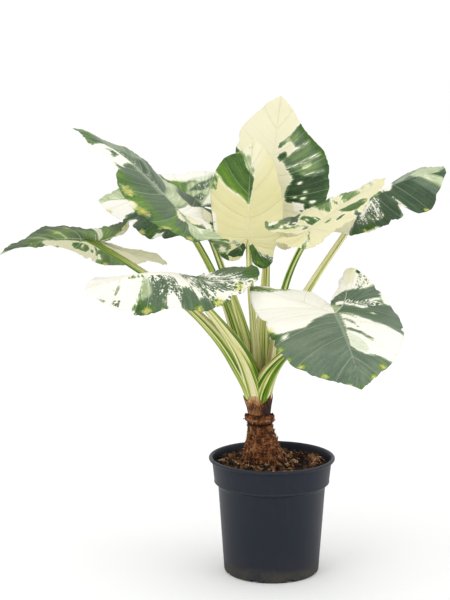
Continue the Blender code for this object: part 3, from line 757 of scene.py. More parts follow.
def dry_sheath(index, middle, width, rim, material):
    """A bent strip of a cone with a torn top."""
    sheet = bmesh.new()
    bmesh.ops.create_grid(sheet, x_segments=SHEATH_CELLS[0], y_segments=SHEATH_CELLS[1], size=1.0)
    for vertex in sheet.verts:
        across, up = vertex.co.x, 0.5 + 0.5 * vertex.co.y
        tear = noise.noise(Vector((across * 9.0, index * 5.0, 0.0)))
        top = float(np.interp(across, *zip(*rim))) + SHEATH_TEAR * tear
        height = SHEATH_FOOT + (top - SHEATH_FOOT) * up
        turn = math.radians(middle + 0.5 * width * across * (1 - SHEATH_TAPER * up))
        radius = float(np.interp(height, *zip(*SHEATH_FLARE)))
        crease = noise.noise(Vector((across * 14.0, up * 1.5, index * 3.0)))
        warp = noise.noise(Vector((across * 5.0, 7.0, index)))
        radius += SHEATH_CREASE * crease + SHEATH_WARP * up ** 4 * warp
        axis = trunk_axis(height)
        vertex.co = (axis.x + radius * math.cos(turn), axis.y + radius * math.sin(turn), height)
    item = piece_of(f"papery_sheath_{index + 1}", sheet, material)
    thickened(item, SHEATH_THICKNESS, 1.0)
    smooth(item, 60.0)
    seat(item, "dry_sheath", f"dry_sheath_{index + 1}")


papery = sheath_finish()
for index, sizes in enumerate(DRY_SHEATHS):
    dry_sheath(index, *sizes, papery)


# Nine leaf stalks stand in a tight fan on the crown. Each is a fleshy round petiole, striped
# lengthwise in green, olive and cream, whose foot widens into a sheath that clasps the next one
# and whose top runs on under the blade as its midrib.
RING_RADIUS = 0.0185
STALK_FOOT_RADIUS = 0.0068
STALK_TOP_RADIUS = 0.0050
STALK_POINTS = 56
STALK_SIDES = 28
STALK_WRAP = 26.0
STALK_PULL = 0.35
STALK_GAP = 0.0003
TUCK = 0.010
TUCK_SHARE = 0.74
CAP_POINTS = 8
RUN_ON = 0.030
RUN_ON_POINTS = 8
RUN_ON_TIP = 0.0006
RUN_ON_SINK = 0.0004
STALK_STOPS = ((0.0, (0.030, 0.105, 0.001)), (0.25, (0.105, 0.245, 0.004)),
               (0.42, (0.290, 0.405, 0.026)), (0.53, (0.540, 0.570, 0.150)),
               (0.68, (0.780, 0.745, 0.340)), (1.0, (0.880, 0.810, 0.540)))
SEAM_BROWN = (0.170, 0.095, 0.035)
STAIN_BROWN = (0.16, 0.07, 0.03)
# A blade's flat outline and its ribs, forward and outward from the seat in blade lengths, each
# read at a vein: 0 at the tip, 4 at the seat, 7 at the end of the back lobe, 10 at the seat again
MARGIN = ((1.0, 0.0), (0.89, 0.15), (0.68, 0.34), (0.38, 0.47), (0.06, 0.52), (-0.20, 0.50),
          (-0.41, 0.38), (-0.50, 0.22), (-0.40, 0.085), (-0.20, 0.03), (0.0, 0.0))
RIB = ((1.0, 0.0), (0.66, 0.0), (0.40, 0.0), (0.18, 0.0), (0.0, 0.0), (-0.10, 0.07),
       (-0.21, 0.14), (-0.32, 0.20), (-0.21, 0.14), (-0.10, 0.07), (0.0, 0.0))


@dataclass
class Half:
    """One side of a blade: scales on the outline, and angles in degrees.

    A share stretches the vein that ends at each point of the outline.
    """
    width: float = 1.0
    fold: float = 0.0
    curl: float = 10.0
    lobe: float = 1.0
    lobe_fold: float = 0.0
    lobe_bend: float = 0.0
    splay: float = 0.0
    shares: tuple = (1.0,) * len(MARGIN)


@dataclass
class Leaf:
    """A blade on its petiole, which meet at the seat; angles in degrees.

    The stalk stands at its place round the crown. It leaves the crown and arrives at the seat
    at a heading and a rise. The blade bends down by its droop from the seat to its tip.
    """
    name: str
    seat: tuple
    heading: float
    pitch: float
    roll: float
    length: float
    droop: float
    place: float
    leave: tuple
    arrive: tuple
    twist: float = 0.0
    droop_power: float = 1.0
    left: Half = field(default_factory=Half)
    right: Half = field(default_factory=Half)


LEAVES = (
    Leaf("front_right", (0.093, -0.140, 0.461), 278, -10, 4, 0.200, 30,
         place=300, leave=(300, 80), arrive=(315, 40),
         left=Half(1.02, 10, 35, 0.80, 60,
                   shares=(1, 1, 1, 1, 0.98, 0.78, 0.83, 0.75, 0.7, 1.5, 1)),
         right=Half(1.10, 5, 15, 0.90, 22, splay=0.7,
                    shares=(1, 1.05, 1.2, 1.06, 0.98, 0.82, 0.84, 0.9, 1, 2, 1))),
    Leaf("front_left", (-0.141, -0.115, 0.518), 228, 15, 0, 0.214, 34,
         place=255, leave=(235, 78), arrive=(212, 52), twist=-30,
         left=Half(1.0, -20, 20, 1.0, -5, -36,
                   shares=(1, 1.05, 0.98, 0.82, 0.85, 0.78, 1, 1, 1.3, 1.3, 1)),
         right=Half(0.85, -25, 15, 0.75, 0, -30)),
    Leaf("far_left", (-0.283, 0.000, 0.557), 182, 12, 26, 0.168, 42,
         place=210, leave=(200, 75), arrive=(180, 31),
         left=Half(1.0, 0, 10, 0.60, 24, -46, shares=(1, 1, 1, 1, 0.9, 1, 1, 1, 0.4, 0.6, 1)),
         right=Half(1.0, -10, 10, 1.40,
                    shares=(1, 0.25, 0.5, 0.45, 0.82, 0.85, 0.8, 1, 1, 1, 1))),
    Leaf("upper_left", (-0.148, -0.045, 0.607), 165, 46, 0, 0.228, 30,
         place=165, leave=(170, 82), arrive=(180, 55), droop_power=2.0,
         left=Half(0.80, -8, 12, 0.85, -8, -66,
                   shares=(1, 0.85, 0.70, 1.05, 1, 0.65, 0.5, 1, 1, 1, 1)),
         right=Half(0.90, 4, 10, 0.45, -8, -45, shares=(1, 0.8, 0.6, 0.76, 1, 1, 1, 1, 1, 1, 1))),
    Leaf("rear_left", (-0.119, 0.160, 0.596), 172, 8, -38, 0.185, 15,
         place=120, leave=(125, 82), arrive=(125, 55),
         left=Half(0.95, shares=(1, 1, 0.9, 1.05, 0.7, 0.85, 0.9, 1, 1, 1, 1)),
         right=Half(0.95, shares=(1, 1, 1, 1, 1.05, 1, 1, 1, 1, 1, 1))),
    Leaf("young", (-0.040, 0.030, 0.558), 80, 85, 0, 0.175, 45,
         place=0, leave=(160, 88), arrive=(90, 85), droop_power=2.0,
         left=Half(0.65, 12, 0, 0.45, 12, shares=(1, 0.85, 1.2, 1.2, 0.97, 1, 1, 1, 1, 1, 1)),
         right=Half(0.72, 12, 0, 0.60, 12, shares=(1, 1, 1, 1, 0.9, 0.7, 0.85, 0.9, 1, 1, 1))),
    Leaf("tall", (-0.006, 0.105, 0.618), 75, 60, 0, 0.192, 0,
         place=75, leave=(80, 84), arrive=(85, 78),
         left=Half(0.96, 5, 0, 1.0, 5, shares=(1, 1, 0.97, 0.78, 0.85, 0.9, 1, 1, 1, 1, 1)),
         right=Half(0.98, 5, 0, 1.0, 5, shares=(1, 0.88, 0.84, 1.08, 1.1, 1, 1, 1, 1, 1, 1))),
    Leaf("near_right", (0.059, -0.065, 0.586), 20, 34, 0, 0.150, 8,
         place=345, leave=(345, 82), arrive=(345, 54),
         left=Half(1.0, 12, 10, 1.0, 20, -60, shares=(1, 0.85, 0.62, 0.72, 0.95, 1, 1, 1, 1, 1, 1)),
         right=Half(0.9, 0, 15, 1.0, 0, -50, shares=(1, 1, 1, 1, 0.95, 1, 1.4, 1, 1, 1, 1))),
    Leaf("rear_right", (0.148, 0.050, 0.614), 350, 38, 5, 0.150, 35,
         place=30, leave=(25, 82), arrive=(15, 55), twist=25,
         left=Half(1.1, -12, 10, 1.0, -12, -40, shares=(1, 1.3, 1.25, 1, 1, 1, 1, 1, 1, 1, 1)),
         right=Half(1.1, -22, 15, 1.0, -15, -40,
                    shares=(1, 1.15, 1.3, 0.95, 1, 0.88, 1, 1, 1, 1, 1))),
)


def heading_vector(heading, rise):
    """Unit vector from a compass angle and an angle above the horizon."""
    heading, rise = math.radians(heading), math.radians(rise)
    return Vector((math.cos(heading) * math.cos(rise), math.sin(heading) * math.cos(rise),
                   math.sin(rise)))


def blade_turn(leaf):
    """Rotation from the blade's own axes (forward, left, up) to the world."""
    heading, pitch, roll = np.radians((leaf.heading, leaf.pitch, leaf.roll))
    about_x = np.array([[1, 0, 0], [0, math.cos(roll), -math.sin(roll)],
                        [0, math.sin(roll), math.cos(roll)]])
    about_y = np.array([[math.cos(pitch), 0, -math.sin(pitch)], [0, 1, 0],
                        [math.sin(pitch), 0, math.cos(pitch)]])
    about_z = np.array([[math.cos(heading), -math.sin(heading), 0],
                        [math.sin(heading), math.cos(heading), 0], [0, 0, 1]])
    return about_z @ about_y @ about_x


def stalk_line(leaf, top):
    """Points and radii of a stalk: a Bezier curve from the crown to its top."""
    lift = STALK_GAP + STALK_FOOT_RADIUS * math.cos(math.radians(leaf.leave[1]))
    radius = 0.0 if leaf.name == "young" else RING_RADIUS
    turn = math.radians(leaf.place)
    foot = CROWN + Vector((radius * math.cos(turn), radius * math.sin(turn), lift))
    pull = STALK_PULL * (top - foot).length
    first = foot + heading_vector(*leaf.leave) * pull
    second = top - heading_vector(*leaf.arrive) * pull
    part = np.linspace(0, 1, STALK_POINTS)[:, None]
    rest = 1 - part
    line = (np.array(foot) * rest ** 3 + np.array(first) * 3 * rest ** 2 * part
            + np.array(second) * 3 * rest * part ** 2 + np.array(top) * part ** 3)
    return line, (STALK_FOOT_RADIUS * rest + STALK_TOP_RADIUS * part)[:, 0]


def stalk_top(leaf):
    """Middle of the top of the solid petiole: its rim points are the ones nearest the seat."""
    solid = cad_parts[f"petiole_{leaf.name}"].data
    places = np.unique(np.round([tuple(vertex.co) for vertex in solid.vertices], 5), axis=0)
    away = np.linalg.norm(places - np.array(leaf.seat), axis=1)
    return Vector(places[np.argsort(away)[:CAP_POINTS]].mean(0))


def tucked(leaf, line, radii):
    """Start the stalk a little deeper, inside the dry sheaths."""
    foot = Vector(line[0]) - heading_vector(*leaf.leave) * TUCK
    foot.xy = CROWN.xy + (foot.xy - CROWN.xy) * TUCK_SHARE
    return np.vstack([foot, line]), np.concatenate([[radii[0] * 0.9], radii])


def run_on(leaf, line, radii):
    """Carry the stalk on along the underside of the midrib, ever thinner."""
    share = np.linspace(0, 1, RUN_ON_POINTS + 1)[1:]
    length = RUN_ON / leaf.length
    rib = blade_points(leaf, 1, 4.0 - share * length / RIB[3][0], np.zeros(RUN_ON_POINTS))
    normal = blade_turn(leaf)[:, 2]
    thickness = STALK_TOP_RADIUS * (1 - share) ** 0.8 * 0.9 + RUN_ON_TIP
    gap = (line[-1] - np.array(leaf.seat)) @ normal
    sink = -RUN_ON_SINK - thickness + (gap + STALK_TOP_RADIUS) * (1 - share) ** 2 * 0.6
    path = rib + normal * np.minimum(sink, -thickness)[:, None]
    return np.vstack([line, path]), np.concatenate([radii, thickness])


def stalk_tree(material):
    """A tube along a curve, stretched sideways and wrapped round the crown at its foot."""
    tree, start = new_tree("stalk", {"Outward": ("Vector", None), "Sheath Width": ("Float", 1.0),
                                     "Sheath Share": ("Float", 0.3), "Wrap": ("Float", 25.0),
                                     "Paleness": ("Float", 0.0), "Sides": ("Int", 28)})

    def read(name, kind="FLOAT_VECTOR"):
        return start.node("GeometryNodeInputNamedAttribute", {"Name": name}, data_type=kind)

    curve = kept(start, "along", "FLOAT", start.node("GeometryNodeSplineParameter"))
    curve = kept(curve, "centre", "FLOAT_VECTOR", start.node("GeometryNodeInputPosition"))
    curve = kept(curve, "ahead", "FLOAT_VECTOR", start.node("GeometryNodeInputTangent"))
    curve = kept(curve, "girth", "FLOAT", start.node("GeometryNodeInputRadius"))
    curve = kept(curve, "paleness", "FLOAT", start["Paleness"])
    ring = start.node("GeometryNodeCurvePrimitiveCircle",
                      {"Resolution": start["Sides"], "Radius": 1.0})
    ring = kept(ring, "ring", "FLOAT_VECTOR", start.node("GeometryNodeInputPosition"))
    tube = start.node("GeometryNodeCurveToMesh", {"Curve": curve, "Profile Curve": ring,
                                                  "Fill Caps": True})
    across = start.vector("NORMALIZE", start.vector("CROSS_PRODUCT", read("ahead"),
                                                    start["Outward"]))
    outward = start.vector("NORMALIZE", start.vector("CROSS_PRODUCT", across, read("ahead")))
    x, y, _ = start.parts(read("ring"))
    girth = read("girth", "FLOAT")
    sheath = 1.0 - (read("along", "FLOAT") / start["Sheath Share"]).between(0.0, 1.0)
    belly = sheath * read("along", "FLOAT").between(0.02, 0.20)
    side = x * girth * (1.0 + sheath * start["Sheath Width"])
    front = y * girth * (1.0 - sheath * 0.35 + belly * 0.9) - side * side * start["Wrap"] * sheath
    move = start.vector("ADD", start.scaled(across, side), start.scaled(outward, front))
    placed = start.node("GeometryNodeSetPosition", {
        "Geometry": tube, "Position": start.vector("ADD", read("centre"), move)})
    end_tree(tree, placed, material)
    return tree


def stalk_finish():
    """Stripes along the stalk in green, olive and cream, with brown seams and a waxy skin."""
    material, base = new_finish("petiole", Metallic=0.0, Specular_IOR_Level=0.3)
    along = base.stored("along", "Fac")
    paleness = base.stored("paleness", "Fac")
    ring = base.parts(base.stored("ring"))
    place = base.joined(ring[0], ring[1], along * 0.8 + paleness * 40.0)
    broad = base.grain(place, 1.6, 2.0)
    narrow = base.grain(place, (4.6, 4.6, 1.6), 3.0)
    thread = base.grain(place, (17.0, 17.0, 5.0), 2.0)
    fleck = base.grain(base.place(), (700.0, 700.0, 90.0), 2.0)
    shade = broad * 2.30 + narrow * 2.10 + thread * 1.20 - 2.34 + paleness * 0.35
    shade = shade + (1.0 - along.between(0.0, 0.35)) * 0.05
    seam = ring[0].size().between(0.90, 0.985) * (1.0 - along.between(0.15, 0.60))
    vein = (thread - 0.5).size().between(0.0, 0.025)
    colour = base.ramp(shade, STALK_STOPS)
    stained = fleck.between(0.66, 0.72) * (1.0 - along.between(0.1, 0.5)) * 0.6
    colour = base.mixed(stained, colour, STAIN_BROWN)
    colour = base.mixed((1.0 - vein) * 0.28, colour, SEAM_BROWN)
    colour = base.mixed(seam * 0.75, colour, SEAM_BROWN)
    bump = base.bump(thread + fleck * 0.3, 0.0004, 0.5)
    return wear(material, Base_Color=colour, Roughness=0.34 + fleck * 0.16, Normal=bump)


# How wide each stalk's foot spreads, over which share of its length, and how pale the stalk is
STALK_LOOKS = {"front_right": (2.4, 0.62, 0.30), "front_left": (1.8, 0.85, 0.05),
               "far_left": (1.8, 0.85, -0.10), "upper_left": (1.6, 0.75, -0.05),
               "rear_left": (1.6, 0.75, 0.10), "young": (1.0, 0.50, 0.50),
               "tall": (1.6, 0.75, 0.50), "near_right": (1.7, 0.75, -0.05),
               "rear_right": (1.8, 0.70, 0.75)}


def on_run(points, at):
    """The points, the one before each position, and the share of the way to the next one."""
    at = np.clip(at, 0, len(points) - 1 - 1e-9)
    start = at.astype(int)
    return np.array(points), start, (at - start)[..., None]


def through(points, at):
    """Smooth curve through the points, read at positions counted in points."""
    points, start, part = on_run(points, at)
    before, first, second, after = (points[np.clip(start + step, 0, len(points) - 1)]
                                    for step in (-1, 0, 1, 2))
    return 0.5 * (2 * first + (second - before) * part
                  + (2 * before - 5 * first + 4 * second - after) * part ** 2
                  + (3 * first - before - 3 * second + after) * part ** 3)


def straight(points, at):
    """Straight runs between the points, read at positions counted in points."""
    points, start, part = on_run(points, at)
    return points[start] * (1 - part) + points[start + 1] * part


def bent_strip(distance, angle, curl):
    """Reach and rise of a strip that starts at an angle and turns down evenly."""
    curl = np.where(np.abs(curl) < 1e-4, 1e-4, curl)
    reach = (np.sin(angle) - np.sin(angle - curl * distance)) / curl
    rise = (np.cos(angle - curl * distance) - np.cos(angle)) / curl
    return reach, rise


def along_midrib(forward, bend, power):
    """Reach, rise and slope along a rib that bends down by the angle over the blade's length."""
    steps = np.linspace(0.0, 1.0, 41)
    angle = bend * steps ** power
    middle = 0.5 * (angle[1:] + angle[:-1])
    width = steps[1] - steps[0]
    reach = np.concatenate([[0.0], np.cumsum(np.cos(middle) * width)])
    rise = np.concatenate([[0.0], np.cumsum(-np.sin(middle) * width)])
    return (np.interp(forward, steps, reach), np.interp(forward, steps, rise),
            np.interp(forward, steps, angle))


LOBE_LENGTH = 0.35
VEIN_SWEEP = 0.035
HALF_WIDTH = 0.5
WAVE = 0.02
WAVE_SHIFT = 1.3
PLEAT = 0.0012


def blade_points(leaf, side, vein, reach):
    """World points of one half of a blade; side is 1 on the left and -1 on the right."""
    half = leaf.left if side > 0 else leaf.right
    stretch = np.array(half.shares, float)[:, None]
    edge = through(np.array(RIB) + (np.array(MARGIN) - np.array(RIB)) * stretch, vein)
    root = straight(RIB, vein)
    flat = root + (edge - root) * reach[..., None]
    sweep = VEIN_SWEEP * np.sin(np.pi * reach) * np.clip(1 - abs(vein - 3) / 3, 0, 1)
    forward = flat[..., 0] - sweep
    outward = flat[..., 1] * half.width
    forward = np.where(forward < 0, forward * half.lobe, forward)
    outward = outward * (1 + half.splay * np.clip(-forward / LOBE_LENGTH, 0, 1))
    lobe = np.clip(-forward / LOBE_LENGTH, 0, 1)
    lobe = lobe ** 2 * (3 - 2 * lobe)
    fold = np.radians(half.fold * (1 - lobe) + half.lobe_fold * lobe)
    across, rise = bent_strip(outward, fold, math.radians(half.curl) / HALF_WIDTH)
    swell = np.sin(math.pi * vein + (0.0 if side > 0 else WAVE_SHIFT))
    swell = swell * np.clip(vein / 1.5, 0, 1) * np.clip((10 - vein) / 1.5, 0, 1)
    rise = rise + WAVE * swell * reach ** 2
    pleat = np.sin(math.pi * vein) ** 2 * 4 * reach * (1 - reach)
    rise = rise + PLEAT / leaf.length * pleat
    ahead = along_midrib(np.clip(forward, 0, 1), math.radians(leaf.droop), leaf.droop_power)
    behind = along_midrib(np.clip(-forward, 0, 1), 2 * math.radians(half.lobe_bend), 1.0)
    front = forward >= 0
    along = np.where(front, ahead[0], -behind[0])
    height = np.where(front, ahead[1], behind[1])
    slope = np.where(front, -ahead[2], behind[2])
    twist = math.radians(leaf.twist) * np.clip(forward, -0.4, 1)
    sideways = side * across * np.cos(twist) - rise * np.sin(twist)
    lift = side * across * np.sin(twist) + rise * np.cos(twist)
    own = np.stack([along - lift * np.sin(slope), sideways, height + lift * np.cos(slope)], -1)
    return own * leaf.length @ blade_turn(leaf).T + np.array(leaf.seat)


striped = stalk_tree(stalk_finish())
for leaf in LEAVES:
    spread, share, paleness = STALK_LOOKS[leaf.name]
    line, radii = run_on(leaf, *tucked(leaf, *stalk_line(leaf, stalk_top(leaf))))
    path = bpy.data.curves.new(f"stalk_{leaf.name}", "CURVE")
    path.dimensions = "3D"
    spline = path.splines.new("POLY")
    spline.points.add(len(line) - 1)
    for point, place, radius in zip(spline.points, line, radii):
        point.co = (*place, 1.0)
        point.radius = radius
    turn = math.radians(leaf.place)
    outward = (0.0, -1.0, 0.0) if leaf.name == "young" else (math.cos(turn), math.sin(turn), 0.0)
    stalk = grown(new_piece(f"stalk_{leaf.name}", path), striped, Outward=outward,
                  Sheath_Width=spread, Sheath_Share=share, Wrap=STALK_WRAP, Paleness=paleness,
                  Sides=STALK_SIDES)
    skin = bmesh.new()
    skin.from_mesh(stalk.data)
    bmesh.ops.recalc_face_normals(skin, faces=list(skin.faces))
    skin.to_mesh(stalk.data)
    skin.free()
    seat(stalk, "petiole", f"petiole_{leaf.name}")


# The blades are thin leathery arrow-shaped sheets, arched and waved, with a thick midrib and
# ribs that branch to the margin. The plant is variegated: each blade is marbled in its own way
# in glaucous green, bright green, mint and cream, in sectors that follow the veins.
EDGE_THICKNESS = 0.0006
RIB_THICKNESS = 0.0030
BLADE_COLUMNS = 140
REACH_ROWS = (0.0, 0.015, 0.035, *np.linspace(0.065, 1.0, 29))
RIB_VEINS = (0.0, 1.0, 4.0, 5.5, 7.0, 8.5, 10.0)
RIB_SHARES = (0.0, 0.4, 1.0, 0.5, 0.1, 0.5, 1.0)
SIDE_RIB_SHARE = 0.30
SIDE_RIB_WIDTH = 0.05
GROOVE = 0.00035
GROOVE_WIDTH = 0.06
PUCKER = 0.00022
RAGGED = 0.012
NICKED = 0.030
RUFFLE = 0.0035
BLADE_WELD = 0.00003
LEAF_SHIFT = 3.7
REACH_SCALE = 1.5
CREAM_LIMIT = 0.5
# Tears in the margin: vein, below 0 on the right half; depth as a share of the reach; and width
TEARS = {"rear_right": ((-2.68, 0.30, 0.13), (-3.35, 0.06, 0.1), (-1.3, 0.05, 0.15)),
         "upper_left": ((1.42, 0.16, 0.10), (2.35, 0.07, 0.1), (3.35, 0.05, 0.08)),
         "far_left": ((-2.1, 0.14, 0.2), (-3.9, 0.10, 0.1), (1.5, 0.05, 0.1)),
         "front_left": ((1.5, 0.10, 0.12), (4.85, 0.10, 0.15), (5.6, 0.08, 0.1), (2.75, 0.04, 0.1)),
         "front_right": ((3.3, 0.05, 0.08), (-3.2, 0.05, 0.07), (5.1, 0.06, 0.08)),
         "near_right": ((2.3, 0.12, 0.1), (3.6, 0.10, 0.1), (-3.4, 0.10, 0.12), (-5.5, 0.12, 0.15)),
         "rear_left": ((2.1, 0.08, 0.1), (3.2, 0.10, 0.1), (-3.3, 0.08, 0.1)),
         "tall": ((2.4, 0.06, 0.12), (-3.6, 0.03, 0.1)),
         "young": ((-2.5, 0.03, 0.1), (0.9, 0.05, 0.1))}


@dataclass
class Tone:
    """How one kind of marking looks: cream or green, light or dark, blue or yellow green."""
    cream: bool = False
    tone: float = 0.35
    lime: float = 0.2
    fleck: float = 0.0
    warm: float = 0.0
    soft: float = 0.11


TONES = {
    "cream": Tone(cream=True, soft=0.035),
    "warm": Tone(cream=True, warm=0.45, soft=0.1),
    "beige": Tone(cream=True, warm=0.62, soft=0.9),
    "butter": Tone(cream=True, warm=0.55, soft=0.1),
    "speckled": Tone(cream=True, fleck=0.85, warm=0.15, soft=0.06),
    "green": Tone(),
    "dark": Tone(tone=0.08, lime=0.70),
    "deep": Tone(tone=0.17, lime=0.15),
    "glaucous": Tone(tone=0.44, lime=0.0),
    "grey": Tone(tone=0.62, lime=0.05),
    "mint": Tone(tone=0.78, lime=0.25),
    "pale": Tone(tone=0.94, lime=0.05),
    "leaf": Tone(tone=0.27, lime=0.90),
    "bright": Tone(tone=0.43, lime=1.0),
    "sage": Tone(tone=0.52, lime=0.55),
    "limed": Tone(tone=0.44, lime=0.85, soft=0.32),
    "flecked": Tone(tone=0.35, lime=0.12, fleck=0.68, soft=0.06),
    "olive": Tone(tone=0.50, lime=0.70, fleck=0.3, soft=0.05),
    "marbled": Tone(tone=0.35, lime=0.1, fleck=0.77, soft=0.06),
    "streaked": Tone(tone=0.52, lime=0.45, fleck=0.5, soft=0.06),
}

